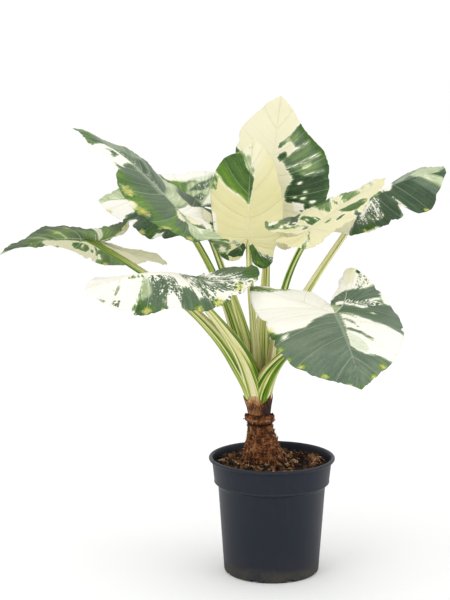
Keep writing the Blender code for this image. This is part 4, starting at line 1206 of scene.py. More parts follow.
# Markings of each blade, laid over its ground in turn. A place is a vein, counted from 0 at the
# tip through 7 at the end of the back lobe to 10 at the petiole, and a reach along that vein,
# from 0 at the ribs to 1 at the left margin or -1 at the right one.
GROUNDS = {"front_right": "glaucous", "front_left": "flecked", "far_left": "limed",
           "upper_left": "green", "rear_left": "green", "young": "warm", "tall": "warm",
           "near_right": "butter", "rear_right": "deep"}
MARKINGS = {
    "front_right": (
        ("bright", (0, -1.1), (0.2, -1.1), (0.14, 0), (0.2, 1.1), (0, 1.1)),
        ("cream", (1.75, 1.1), (1.65, 0.8), (1.52, 0.6), (1.4, 0.45), (1.42, 0.25), (1.52, 0.07),
         (3.9, 0.07), (3.75, 0.15), (3.4, 0.28), (3.15, 0.42), (3.05, 0.55), (3.05, 0.75),
         (2.95, 0.85), (2.8, 1.1)),
        ("pale", (1.42, 0.45), (1.55, 0.5), (1.75, 0.47), (2.0, 0.3), (2.3, 0.07), (1.5, 0.07),
         (1.42, 0.2)),
        ("green", (2.05, 0.56), (2.13, 0.56), (2.32, 0.33), (2.56, 0.07), (2.4, 0.07),
         (2.24, 0.25), (2.05, 0.48)),
        ("green", (2.4, 0.33), (2.55, 0.27), (3.0, 0.22), (3.35, 0.07), (3.2, 0.07), (2.8, 0.2)),
        ("green", (2.8, 0.37), (3.1, 0.3), (3.6, 0.2), (4.0, 0.05), (3.8, 0.07), (3.4, 0.2)),
        ("green", (3.7, 1.1), (3.9, 0.6), (4.2, 0.3), (4.6, 0.1), (4.4, 0.0), (3.9, 0.1),
         (3.4, 0.5), (3.1, 1.1)),
        ("cream", (3.66, 0.56), (3.8, 0.58), (3.78, 0.53)),
        ("marbled", (4.2, 0.45), (4.3, 0.6), (4.45, 0.85), (4.75, 0.8), (4.75, 0.5), (5.2, 0.3),
         (5.6, 0.05), (5.35, 0.0), (4.9, 0.2), (4.45, 0.3)),
        ("cream", (4.15, 0.44), (4.25, 0.5), (4.6, 0.33), (5.1, 0.18), (5.45, 0.0), (5.2, 0.06),
         (4.6, 0.25)),
        ("cream", (4.45, 1.1), (4.55, 0.88), (4.7, 0.9), (4.9, 0.96), (5.0, 1.1)),
        ("cream", (4.6, 0.6), (4.66, 0.85), (4.75, 0.85), (4.72, 0.6)),
        ("cream", (5.25, 1.1), (5.3, 0.75), (5.55, 0.5), (6.1, 0.2), (6.5, 0), (7.5, 0),
         (7.75, 0.25), (8.0, 0.55), (8.4, 0.7), (8.8, 0.92), (8.9, 1.1)),
        ("speckled", (5.3, 0.95), (5.4, 0.6), (5.7, 0.5), (5.9, 0.8), (5.7, 1.1)),
        ("dark", (5.78, 1.0), (5.8, 0.88), (6.0, 0.9), (5.95, 1.05)),
        ("warm", (6.0, 1.1), (6.0, 0.5), (6.5, 0.2), (6.5, 0.9), (6.3, 1.1)),
        ("cream", (8.45, 0), (8.75, 0), (9.05, 0.5), (8.9, 0.55), (8.6, 0.2)),
        ("mint", (9.1, 0), (9.05, 0.5), (9.1, 1.1), (10.1, 1.1), (10.1, 0)),
        ("leaf", (3.05, -0.95), (3.3, -0.88), (3.5, -0.95), (3.7, -1.0), (3.4, -1.1), (3.0, -1.05)),
        ("cream", (4.0, 0), (3.95, -0.1), (3.5, -0.3), (3.12, -0.5), (3.2, -0.65), (3.3, -0.85),
         (3.55, -0.96), (3.9, -1.1), (10.2, -1.1), (10.2, 0)),
        ("streaked", (5.6, -1.1), (5.85, -0.72), (6.3, -0.5), (7.0, -0.28), (7.4, -0.6),
         (7.5, -1.1), (7.15, -1.1), (7.1, -0.75), (6.95, -0.5), (6.5, -0.62), (6.3, -0.8),
         (6.45, -1.1)),
        ("cream", (3.05, -0.8), (3.15, -0.78), (3.15, -0.86), (3.06, -0.86)),
    ),
    "front_left": (
        ("cream", (0, -1.1), (0, 1.1), (1.7, 1.1), (1.6, 0.85), (1.75, 0.75), (1.8, 0.5),
         (1.75, 0.25), (1.95, 0.12), (2.4, 0.13), (2.9, 0.15), (3.05, 0.2), (3.05, 0.45),
         (3.2, 0.48), (3.45, 0.45), (3.6, 0.35), (3.5, 0.15), (3.6, 0.02), (3.9, -0.02),
         (2.2, -0.3), (2.1, -1.1)),
        ("mint", (1.75, 0.7), (2.0, 0.66), (2.25, 0.5), (2.05, 0.35), (2.05, 0.15), (1.8, 0.2),
         (1.72, 0.4)),
        ("green", (0.95, 0.4), (0.99, 0.66), (1.06, 0.66), (1.06, 0.3), (0.98, 0.3)),
        ("olive", (0.88, 0.53), (0.88, 0.47), (1.0, 0.47), (1.0, 0.53)),
        ("marbled", (1.02, 0.95), (1.05, 0.82), (1.25, 0.8), (1.2, 0.95)),
        ("streaked", (0.5, 1.05), (0.6, 0.92), (0.8, 0.93), (0.8, 1.05)),
        ("olive", (1.25, 0.08), (1.45, 0.16), (1.95, 0.12), (1.85, 0.07), (1.4, 0.02)),
        ("streaked", (1.62, 0.6), (1.64, 0.8), (1.72, 0.8), (1.7, 0.45)),
        ("leaf", (1.58, 0.92), (1.78, 0.72), (2.0, 0.78), (2.2, 1.1), (1.85, 1.1), (1.8, 0.95)),
        ("marbled", (2.05, 0.15), (2.1, 0.62), (2.3, 0.75), (2.7, 0.72), (3.1, 0.62),
         (3.02, 0.22), (2.6, 0.14)),
        ("green", (2.2, 1.1), (2.25, 0.75), (2.5, 0.6), (2.45, 0.8), (2.7, 1.1)),
        ("green", (2.9, 1.1), (3.05, 0.8), (3.2, 0.5), (3.5, 0.6), (3.6, 0.75), (3.8, 0.7),
         (3.9, 1.1)),
        ("cream", (2.66, 1.1), (2.5, 0.82), (2.55, 0.68), (2.78, 0.68), (2.95, 0.82), (3.05, 1.1)),
        ("cream", (3.1, 0.3), (3.15, 0.5), (3.35, 0.44), (3.6, 0.36), (3.5, 0.15), (3.2, 0.15)),
        ("cream", (3.5, 0.5), (3.65, 0.75), (3.8, 0.7), (3.75, 0.45)),
        ("cream", (4.1, 0.6), (4.2, 0.72), (4.3, 0.6), (4.25, 0.52)),
        ("cream", (4.3, 0.66), (4.55, 0.68), (4.8, 0.75), (5.0, 0.75), (5.15, 0.95), (5.1, 1.1),
         (4.9, 0.92), (4.5, 0.95), (4.3, 0.85)),
        ("speckled", (5.0, 1.1), (5.1, 0.75), (5.4, 0.62), (5.6, 0.7), (5.75, 0.85), (5.75, 1.1)),
        ("leaf", (5.75, 1.1), (5.8, 0.8), (6.3, 0.52), (6.6, 0.6), (6.9, 0.7), (7.2, 1.1)),
        ("cream", (3.9, 0.24), (4.3, 0.1), (4.55, 0.03), (4.3, 0.03), (3.9, 0.12)),
        ("cream", (4.75, 0.36), (4.95, 0.26), (5.3, 0.12), (4.9, 0.22)),
        ("cream", (5.15, 0.5), (5.45, 0.3), (5.95, 0.04), (5.7, 0.1), (5.3, 0.34)),
        ("cream", (5.5, 0.62), (5.9, 0.45), (6.4, 0.22), (6.95, 0.02), (6.7, 0.02), (6.1, 0.28),
         (5.6, 0.52)),
        ("marbled", (7.6, 0.0), (8.0, 0.15), (8.7, 0.35), (9.4, 0.5), (9.5, 0.0)),
        ("cream", (8.72, 1.1), (8.85, 0.62), (8.5, 0.38), (8.0, 0.22), (7.1, 0.02), (7.6, 0.04),
         (8.6, 0.22), (9.0, 0.5), (9.08, 1.1)),
        ("cream", (2.8, -0.3), (3.4, -1.1), (4.3, -1.1), (4.4, -0.6), (3.6, -0.25)),
        ("marbled", (4.6, 0), (4.8, -1.1), (6.6, -1.1), (6.2, -0.3)),
        ("cream", (6.8, -1.1), (7.0, -0.3), (8.2, -0.5), (8.6, -1.1)),
    ),
    "far_left": (
        ("pale", (0, -1.1), (0.36, -1.1), (0.3, 0), (0.36, 1.1), (0, 1.1)),
        ("deep", (0.4, -1.1), (0.4, 1.1), (1.0, 1.1), (0.9, 0), (1.0, -1.1)),
        ("leaf", (1.0, -0.2), (1.1, 0.5), (1.35, 0.5), (1.4, -0.2)),
        ("streaked", (1.3, -0.3), (1.4, 0.5), (1.7, 0.6), (1.7, -0.2)),
        ("leaf", (1.7, -0.2), (1.75, 0.4), (2.0, 0.5), (2.0, -0.2)),
        ("deep", (0.9, 0.6), (1.0, 1.1), (4.2, 1.1), (3.8, 0.66), (2.4, 0.62)),
        ("mint", (1.52, 0.0), (1.6, 0.9), (1.7, 0.9), (1.66, 0.0)),
        ("leaf", (2.5, -0.3), (2.6, 0.35), (3.1, 0.45), (3.4, 0.1), (3.3, -0.3)),
        ("dark", (2.8, 0.0), (2.9, 0.3), (3.1, 0.35), (3.15, 0.0)),
        ("streaked", (3.4, -0.2), (3.5, 0.3), (3.75, 0.5), (3.9, 0.2), (3.85, -0.1)),
        ("mint", (2.32, 0.0), (2.3, 0.8), (2.38, 0.8), (2.42, 0.0)),
        ("cream", (3.95, 0.0), (3.86, 1.1), (4.1, 1.1), (4.2, 0.2)),
        ("olive", (4.2, 0.15), (4.3, 0.9), (4.8, 1.1), (4.9, 0.6), (4.5, 0.2)),
        ("deep", (4.9, 0.75), (4.7, 1.1), (6.3, 1.1), (6.5, 0.66), (5.9, 0.6), (5.3, 0.7)),
        ("leaf", (4.8, 0.7), (5.3, 0.66), (6.1, 0.7), (6.4, 0.6), (5.8, 0.5), (5.2, 0.5)),
        ("warm", (6.5, 0.4), (6.7, 1.1), (8.0, 1.1), (8.0, 0.3), (7.0, 0.1)),
        ("olive", (1.2, -0.3), (1.35, -0.7), (1.8, -1.1), (1.1, -1.1), (1.0, -0.3)),
        ("warm", (1.5, -0.2), (2.0, -0.24), (2.5, -0.36), (4.0, -0.12), (4.2, -1.1),
         (2.1, -1.1), (1.75, -0.7), (1.5, -0.5)),
        ("leaf", (1.4, -0.66), (1.7, -0.7), (2.2, -1.1), (1.6, -1.1)),
        ("olive", (2.4, -0.95), (2.45, -0.85), (2.6, -0.9), (2.55, -1.1), (2.4, -1.1)),
        ("leaf", (2.72, -0.5), (3.0, -0.38), (3.4, -0.42), (3.62, -0.6), (3.55, -0.8),
         (3.0, -0.84), (2.8, -0.7)),
        ("cream", (3.12, -0.45), (3.2, -0.42), (3.3, -0.7), (3.22, -0.74)),
        ("dark", (3.66, -0.56), (3.8, -0.52), (3.88, -0.68), (3.72, -0.7)),
        ("leaf", (3.7, -0.3), (3.95, -0.4), (4.4, -0.46), (4.65, -0.8), (4.85, -1.1),
         (4.35, -1.1), (4.25, -0.8), (4.0, -0.66)),
        ("cream", (4.1, -0.62), (4.18, -0.6), (4.28, -0.8), (4.2, -0.84)),
        ("warm", (4.0, -0.1), (4.5, -0.3), (5.0, -0.6), (5.4, -1.1), (10.2, -1.1), (10.2, 0),
         (4.2, 0)),
        ("olive", (4.4, -0.12), (4.9, -0.2), (5.3, -0.6), (5.55, -1.1), (5.45, -1.1),
         (5.15, -0.6), (4.8, -0.28)),
    ),
    "upper_left": (
        ("sage", (0, -1.1), (0.6, -1.1), (0.6, 0), (0.75, 0.8), (1.2, 1.1), (0, 1.1)),
        ("leaf", (0.35, 1.1), (0.45, 0.3), (0.6, 0.3), (0.75, 1.1)),
        ("grey", (0.6, -1.1), (0.6, 0.1), (1.7, 0.2), (3.0, 0.14), (3.0, 0), (2.4, -0.3),
         (2.2, -1.1)),
        ("olive", (0.75, 0.85), (1.05, 0.75), (1.3, 1.1), (0.9, 1.1)),
        ("cream", (1.35, 1.1), (1.15, 0.85), (0.95, 0.5), (0.9, 0.2), (1.1, 0.05), (1.65, 0.06),
         (1.72, 0.3), (1.9, 0.6), (2.35, 0.85), (2.65, 1.1)),
        ("marbled", (1.05, 0.2), (1.15, 0.5), (1.65, 0.74), (1.6, 0.5), (1.35, 0.25)),
        ("green", (1.25, 0.3), (1.4, 0.55), (1.68, 0.72), (1.55, 0.45)),
        ("green", (2.0, 0.9), (2.2, 0.5), (3.2, 0.4), (4.0, 0.5), (4.9, 0.3), (5.15, 0.8),
         (5.6, 1.1), (3.8, 1.1), (3.0, 0.9), (2.5, 1.0)),
        ("leaf", (2.3, 1.1), (2.6, 0.86), (3.2, 0.78), (4.0, 0.8), (4.9, 0.7), (5.2, 1.1)),
        ("limed", (2.2, 1.2), (2.5, 0.72), (3.2, 0.6), (4.0, 0.6), (4.8, 0.6), (5.2, 0.8),
         (5.4, 1.2)),
        ("cream", (3.25, 1.1), (3.4, 0.9), (3.55, 0.9), (3.6, 1.1)),
        ("bright", (3.9, 0.12), (4.1, 0.5), (4.45, 1.1), (4.75, 1.1), (4.4, 0.55), (4.1, 0.2)),
        ("leaf", (3.5, 0.85), (3.65, 0.7), (4.0, 0.9), (4.3, 1.1), (3.6, 1.1)),
        ("warm", (3.75, 0.04), (4.2, 0.22), (4.6, 0.16), (4.8, 0.02)),
        ("mint", (5.1, 0), (5.15, 0.35), (5.35, 0.6), (5.6, 0.78), (6.1, 1.1), (10.2, 1.1),
         (10.2, 0)),
        ("olive", (6.4, 1.1), (6.6, 0.75), (7.1, 0.6), (7.4, 0.8), (7.5, 1.1)),
        ("pale", (6.2, 1.1), (6.3, 0.7), (6.6, 0.5), (6.5, 1.1)),
        ("pale", (7.6, 0.1), (8.4, 0.25), (9.0, 0.6), (9.0, 1.1), (8.8, 1.1), (8.3, 0.4)),
        ("marbled", (1.1, -0.1), (1.4, -0.45), (2.1, -0.6), (2.9, -0.15), (2.9, -0.02),
         (2.1, -0.04)),
        ("deep", (1.95, 0), (2.2, -0.25), (2.2, -0.5), (2.1, -0.78), (1.85, -0.65), (2.0, -0.2)),
        ("deep", (2.3, -0.5), (2.5, -0.2), (2.95, -0.1), (2.6, -0.35), (2.45, -0.55)),
        ("mint", (3.0, 0), (3.7, 0.0), (3.8, -0.3), (3.85, -0.6), (3.5, -0.62), (3.4, -1.1),
         (2.6, -1.1), (3.0, -0.5)),
        ("cream", (3.8, 0), (3.85, -0.5), (4.1, -0.65), (4.5, -1.1), (10.2, -1.1), (10.2, 0)),
        ("warm", (8.0, 0), (8.0, -1.1), (10.2, -1.1), (10.2, 0)),
        ("dark", (3.42, -0.7), (3.6, -0.56), (4.0, -0.62), (4.2, -0.8), (4.5, -1.1),
         (3.55, -1.1)),
        ("olive", (5.8, -1.1), (5.9, -0.85), (6.5, -0.85), (6.5, -1.1)),
    ),
    "rear_left": (
        ("mint", (0, -1.1), (1.3, -1.1), (1.0, -0.5), (0.8, 0), (0.5, 0.5), (0.6, 1.1), (0, 1.1)),
        ("cream", (0.5, 1.1), (0.42, 0.3), (0.6, 0), (0.8, -0.05), (1.4, 0), (1.8, 0.35),
         (1.75, 0.6), (1.65, 0.8), (1.9, 1.1)),
        ("deep", (1.7, 0.55), (1.72, 0.8), (1.95, 1.1), (3.7, 1.1), (3.4, 0.7), (2.6, 0.62)),
        ("cream", (1.95, 0.9), (2.05, 1.1), (2.3, 1.1), (2.2, 0.85)),
        ("cream", (3.0, 0.85), (3.1, 1.1), (3.3, 1.1), (3.15, 0.85)),
        ("leaf", (2.6, 0.8), (2.7, 1.1), (3.0, 1.1), (2.95, 0.75)),
        ("streaked", (1.8, 0.3), (2.4, 0.5), (3.4, 0.6), (4.2, 1.1), (5.6, 1.1), (5.4, 0.3),
         (4.0, 0.0), (2.4, 0.0)),
        ("warm", (4.05, 0.0), (4.3, 0.4), (5.0, 0.44), (5.1, 0)),
        ("dark", (4.8, 0.45), (4.85, 0.32), (5.1, 0.3), (5.15, 0.5)),
        ("cream", (6.0, 0.2), (6.4, 1.1), (8.0, 1.1), (8.6, 0.4), (7.2, 0.1)),
        ("pale", (2.6, -1.1), (2.75, -0.72), (3.0, -0.66), (3.4, -0.72), (3.9, -0.62),
         (4.2, -0.8), (4.4, -1.1)),
        ("cream", (2.6, -1.1), (2.7, -0.8), (3.1, -0.76), (3.6, -0.8), (4.0, -0.84), (4.4, -1.1)),
        ("mint", (3.15, -0.3), (3.7, -0.14), (4.1, -0.02), (4.6, -0.1), (4.35, -0.4),
         (4.2, -0.75), (3.7, -0.66), (3.3, -0.68)),
        ("marbled", (3.3, -0.4), (3.8, -0.42), (4.15, -0.55), (4.1, -0.75), (3.7, -0.62)),
        ("marbled", (3.5, -0.2), (3.9, -0.16), (4.15, -0.28), (3.8, -0.34)),
        ("bright", (2.7, -0.75), (2.85, -0.55), (3.15, -0.32), (3.2, -0.55), (3.05, -0.75)),
        ("cream", (4.1, -0.05), (4.3, -0.3), (4.3, -1.1), (5.6, -1.1), (5.4, 0)),
        ("streaked", (5.6, 0), (5.8, -1.1), (8.0, -1.1), (7.8, 0)),
    ),
    "young": (
        ("beige", (1.4, -1.3), (1.4, 1.3), (10.4, 1.3), (10.4, -1.3)),
        ("mint", (0.32, 0.0), (0.42, 0.35), (0.6, 0.78), (0.66, 0.78), (0.5, 0.35), (0.42, 0)),
        ("mint", (0.6, 0.0), (0.75, 0.4), (1.0, 0.8), (1.1, 1.1), (1.4, 1.1), (1.15, 0.7),
         (1.2, 0.3), (1.2, -0.05), (1.5, -0.28), (1.2, -0.28), (0.9, -0.1)),
        ("leaf", (1.15, 0.0), (1.2, 0.35), (1.1, 0.75), (1.25, 0.95), (1.6, 1.1), (2.5, 1.1),
         (2.45, 0.6), (2.3, 0.2), (2.42, -0.02), (2.0, -0.1), (1.55, -0.24), (1.35, -0.15)),
        ("bright", (1.92, 0), (2.0, 0.45), (2.08, 1.1), (2.5, 1.1), (2.45, 0.6), (2.3, 0.2),
         (2.42, -0.02)),
        ("olive", (2.5, 0.9), (2.6, 1.1), (3.0, 1.1), (2.8, 0.88)),
        ("speckled", (3.4, 1.1), (3.5, 0.9), (4.0, 0.9), (4.1, 1.1)),
        ("streaked", (4.2, 1.1), (4.45, 0.62), (4.9, 0.42), (5.6, 0.4), (6.0, 0.75), (6.0, 1.1)),
        ("streaked", (4.3, 0.38), (4.6, 0.22), (5.3, 0.05), (6, 0), (5.3, 0.22), (4.7, 0.42)),
        ("beige", (4.9, 0.75), (5.3, 0.6), (5.6, 0.7), (5.4, 0.9)),
        ("dark", (5.5, 0), (5.8, 0.15), (5.9, 0.5), (6.15, 0.72), (6.5, 0.6), (7.0, 0.55),
         (7.6, 0.7), (8.2, 1.1), (8.95, 1.1), (9.12, 0.5), (8.95, 0)),
        ("leaf", (5.75, 1.1), (5.8, 0.75), (6.2, 0.65), (6.6, 0.8), (6.8, 1.1)),
        ("olive", (7.95, 0.05), (8.2, 0.3), (8.2, 0.62), (8.45, 0.62), (8.4, 0.3), (8.3, 0.05)),
        ("streaked", (5.4, -0.28), (5.95, -0.1), (6.1, 0.0), (6.5, 0), (6.2, -0.3), (5.7, -0.3)),
        ("marbled", (5.6, -1.1), (5.55, -0.6), (5.8, -0.4), (6.3, -0.4), (6.3, -1.1)),
        ("leaf", (6.1, -0.3), (6.4, -0.15), (6.8, 0), (9.1, 0), (9.2, -0.5), (9.4, -1.1),
         (5.9, -1.1), (6.05, -0.7)),
        ("deep", (6.4, -0.2), (6.8, 0), (7.6, 0), (7.2, -0.25), (6.7, -0.45)),
        ("bright", (7.1, -0.4), (7.5, -0.5), (8.0, -0.8), (7.3, -0.75), (6.7, -0.8)),
    ),
    "tall": (
        ("green", (1.65, -0.2), (1.85, -0.15), (1.85, -0.4), (1.8, -0.55), (2.2, -0.62),
         (2.32, -0.7), (2.3, -0.5), (2.42, -0.25), (2.8, -0.3), (3.2, -0.45), (3.4, -0.7),
         (3.8, -1.1), (1.62, -1.1), (1.7, -0.6)),
        ("sage", (1.72, -0.3), (1.82, -0.5), (2.1, -0.72), (1.8, -0.9)),
        ("sage", (2.4, -0.4), (2.65, -0.45), (2.7, -0.85), (2.45, -0.85)),
        ("sage", (2.85, -0.45), (3.15, -0.5), (3.25, -0.85), (2.95, -0.85)),
        ("leaf", (1.62, -1.1), (1.68, -0.88), (2.4, -0.9), (3.5, -0.92), (3.8, -1.1)),
        ("dark", (2.05, -0.2), (2.2, -0.12), (2.42, -0.2), (2.4, -0.38), (2.1, -0.38)),
        ("cream", (2.25, -0.55), (2.30, -0.55), (2.36, -0.92), (2.32, -0.92)),
        ("cream", (2.74, -0.3), (2.80, -0.3), (2.84, -0.92), (2.80, -0.92)),
        ("cream", (3.19, -0.45), (3.24, -0.45), (3.36, -0.9), (3.32, -0.9)),
        ("dark", (2.8, -0.32), (3.3, -0.4), (3.6, -0.3), (4.0, -0.26), (4.4, -0.29),
         (4.5, -0.42), (4.75, -0.5), (4.85, -0.6), (4.6, -0.78), (4.45, -1.1), (3.75, -1.1),
         (3.5, -0.88), (3.3, -0.6)),
        ("leaf", (3.7, -1.1), (3.75, -0.93), (4.3, -0.95), (4.4, -1.1)),
        ("cream", (4.35, -0.4), (4.5, -0.62), (4.72, -0.64), (4.9, -0.45)),
        ("cream", (4.05, -0.4), (4.15, -0.4), (4.15, -0.47), (4.05, -0.47)),
        ("cream", (4.12, -0.54), (4.24, -0.52), (4.3, -0.62), (4.15, -0.64)),
        ("cream", (4.34, -0.72), (4.46, -0.72), (4.46, -0.8), (4.36, -0.8)),
        ("cream", (3.86, -0.58), (3.95, -0.58), (3.95, -0.64), (3.87, -0.64)),
        ("cream", (3.5, -0.48), (3.58, -0.5), (3.55, -0.56), (3.48, -0.54)),
        ("cream", (2.95, -0.6), (3.0, -0.6), (3.0, -0.7), (2.95, -0.7)),
        ("leaf", (2.55, 1.1), (2.65, 0.85), (2.9, 0.7), (3.6, 0.55), (4.3, 0.7), (4.6, 1.1)),
        ("deep", (2.9, 1.1), (3.0, 0.8), (3.8, 0.65), (4.2, 1.1)),
        ("leaf", (6.2, 0.9), (6.6, 0.5), (7.2, 0.5), (7.6, 1.1), (6.3, 1.1)),
        ("speckled", (7.6, -0.3), (8.4, -0.4), (8.6, -1.1), (7.4, -1.1)),
    ),
    "near_right": (
        ("mint", (0.42, 0.0), (0.5, 0.4), (0.85, 0.9), (1.05, 0.9), (0.75, 0.4), (0.62, 0)),
        ("grey", (1.0, 0.45), (1.15, 0.9), (1.28, 0.9), (1.12, 0.45)),
        ("sage", (1.0, 0.04), (1.15, 0.4), (1.5, 0.8), (1.7, 1.1), (2.2, 1.1), (2.0, 0.6),
         (1.85, 0.3), (1.8, 0.04)),
        ("olive", (1.1, 0.1), (1.2, 0.35), (1.5, 0.7), (1.65, 0.7), (1.4, 0.35), (1.3, 0.1)),
        ("olive", (1.5, 0.08), (1.7, 0.5), (2.0, 0.9), (2.12, 0.85), (1.9, 0.5), (1.7, 0.08)),
        ("olive", (2.05, 0.2), (2.15, 0.5), (2.35, 0.8), (2.4, 0.75), (2.25, 0.45)),
        ("sage", (2.4, 0.2), (2.45, 0.7), (2.65, 1.1), (3.4, 1.1), (3.1, 0.75), (2.75, 0.3),
         (2.6, 0.1)),
        ("leaf", (2.45, 0.7), (2.6, 1.1), (3.3, 1.1), (3.1, 0.88), (2.8, 0.82)),
        ("olive", (2.45, 0.15), (2.6, 0.4), (2.9, 0.8), (3.05, 0.8), (2.8, 0.4), (2.65, 0.12)),
        ("leaf", (3.2, 0.04), (3.28, 0.3), (3.5, 0.5), (3.72, 0.78), (3.95, 0.66), (3.82, 0.4),
         (3.92, 0.2), (3.85, 0.04)),
        ("cream", (3.34, 0.1), (3.36, 0.3), (3.40, 0.3), (3.39, 0.1)),
        ("cream", (3.66, 0.35), (3.72, 0.52), (3.77, 0.48), (3.72, 0.32)),
        ("deep", (3.68, 1.1), (3.95, 0.72), (4.2, 0.5), (4.65, 0.36), (4.9, 0.5), (4.5, 0.66),
         (4.1, 1.1)),
        ("glaucous", (4.15, 1.1), (4.3, 0.75), (4.8, 0.6), (5.1, 0.72), (4.8, 1.1)),
        ("cream", (4.3, 0.58), (4.6, 0.5), (4.5, 0.46), (4.25, 0.52)),
        ("sage", (4.6, 0.98), (4.9, 0.7), (5.4, 0.42), (6.2, 0.24), (7.0, 0.0), (7.35, 0.2),
         (7.6, 0.6), (7.6, 1.1), (5.0, 1.1)),
        ("limed", (5.0, 0.52), (5.6, 0.28), (6.0, 0.3), (5.5, 0.5)),
        ("cream", (5.2, 0.62), (5.5, 0.54), (6.2, 0.32), (6.8, 0.1), (6.6, 0.1), (6.0, 0.26),
         (5.4, 0.46)),
        ("cream", (4.9, 0.96), (5.4, 0.78), (6.2, 0.62), (6.75, 0.58), (6.95, 0.7), (6.6, 0.76),
         (5.8, 0.9), (5.2, 1.1)),
        ("green", (5.2, 0.76), (6.2, 0.54), (6.95, 0.34), (7.3, 0.6), (7.25, 0.9), (7.05, 0.9),
         (6.95, 0.5), (6.2, 0.6)),
        ("deep", (6.3, 0.5), (6.95, 0.38), (7.0, 0.48), (6.5, 0.56)),
        ("olive", (4.0, 0.12), (4.4, 0.34), (5.0, 0.4), (5.7, 0.34), (6.5, 0.2), (7.0, 0.02),
         (6.2, 0.1), (5.4, 0.22), (4.6, 0.22)),
        ("deep", (4.0, 0.1), (4.3, 0.12), (4.9, 0.0), (5.2, -0.03), (4.4, 0.0)),
        ("leaf", (1.88, -0.6), (2.2, -0.42), (2.5, -0.22), (2.64, -0.4), (2.7, -0.7),
         (2.58, -0.86), (2.2, -0.95), (1.98, -0.82)),
        ("olive", (1.6, -1.1), (1.9, -0.92), (2.25, -0.96), (2.2, -1.1)),
        ("olive", (3.0, -0.26), (3.5, -0.34), (3.6, -0.42), (3.2, -0.4)),
        ("dark", (2.75, -0.62), (2.9, -0.5), (3.1, -0.5), (3.3, -0.62), (3.0, -0.6)),
        ("deep", (2.62, -0.8), (2.8, -0.82), (3.15, -1.1), (2.9, -1.1)),
        ("beige", (5.2, -1.1), (5.2, 0), (10.2, 0), (10.2, -1.1)),
        ("olive", (4.4, 0), (4.9, -0.25), (5.3, -0.7), (5.45, -1.1), (5.35, -1.1), (5.1, -0.7),
         (4.7, -0.3)),
    ),
    "rear_right": (
        ("mint", (0.45, -1.1), (0.5, 0), (0.3, 0.3), (0.6, 1.1), (2.45, 1.1), (1.9, 0.5),
         (1.2, 0.1), (0.95, 0), (0.95, -1.1)),
        ("grey", (2.0, 0), (2.3, 0.4), (2.5, 1.1), (2.2, 1.1), (1.7, 0.3), (1.5, 0)),
        ("cream", (2.05, 0), (2.35, 0.25), (2.65, 0.58), (2.95, 0.3), (2.8, 0), (2.4, -0.16)),
        ("olive", (2.42, -0.06), (2.9, -0.03), (3.35, -0.13), (2.7, -0.12)),
        ("glaucous", (1.0, -0.1), (1.0, -1.1), (1.35, -1.1), (1.3, -0.1)),
        ("cream", (2.555, -0.4), (2.57, -0.4), (2.6, -0.75), (2.8, -0.92), (3.1, -1.05),
         (3.1, -1.1), (2.6, -1.1), (2.56, -0.8)),
        ("green", (2.66, -0.86), (2.72, -0.98), (2.95, -1.0), (2.8, -0.88)),
        ("marbled", (3.0, -0.2), (3.3, -0.15), (4.5, -0.4), (4.75, -0.6), (4.5, -0.8),
         (3.4, -0.8)),
        ("cream", (3.2, -0.14), (3.7, -0.3), (4.3, -0.45), (4.5, -0.4), (3.9, -0.22)),
        ("cream", (3.35, -0.3), (3.5, -0.3), (3.7, -0.72), (3.6, -0.8)),
        ("mint", (3.9, -0.5), (4.1, -0.5), (4.1, -0.66), (3.95, -0.66)),
        ("leaf", (4.1, -0.76), (4.9, -0.8), (5.05, -1.1), (4.0, -1.1), (4.0, -0.9)),
        ("cream", (3.8, -1.1), (4.0, -0.96), (4.5, -0.95), (4.6, -1.1)),
        ("warm", (4.7, -0.4), (4.9, -0.55), (5.05, -0.8), (5.1, -1.1), (10.2, -1.1), (10.2, 0),
         (5.0, 0)),
        ("marbled", (2.9, 0), (2.9, 1.1), (4.6, 1.1), (4.8, 0)),
        ("cream", (4.6, 0.1), (4.8, 1.1), (7.4, 1.1), (7.6, 0.2)),
        ("marbled", (6.2, -1.1), (6.3, -0.4), (7.2, -0.3), (7.8, -1.1)),
    ),
}

# Yellow and orange spots: vein, reach and size
SPOTS = {
    "front_right": ((0.8, 0.96, 0.12), (1.35, 0.93, 0.1), (0.55, -0.98, 0.08), (1.3, -0.95, 0.08),
                    (1.9, -0.95, 0.08), (2.3, -0.99, 0.06), (2.75, -0.98, 0.08),
                    (3.6, -1.0, 0.08), (6.25, -0.8, 0.08)),
    "front_left": ((2.0, 0.93, 0.13), (3.55, 0.97, 0.12), (4.25, 0.94, 0.15), (5.25, 0.82, 0.1),
                   (5.45, 0.72, 0.08), (2.45, 1.0, 0.06)),
    "far_left": ((2.3, 0.42, 0.14), (2.9, 0.75, 0.14), (6.85, 0.72, 0.15), (4.5, -0.96, 0.1)),
    "upper_left": ((3.05, 0.86, 0.17), (3.65, 0.86, 0.16), (4.4, 0.92, 0.14), (5.35, 0.9, 0.2)),
    "rear_left": ((2.65, 0.97, 0.1), (2.95, 0.72, 0.06), (1.1, 0.98, 0.08)),
    "young": (),
    "tall": (),
    "near_right": ((2.2, -0.86, 0.1),),
    "rear_right": ((2.1, -0.98, 0.1), (4.5, -0.93, 0.08)),
}


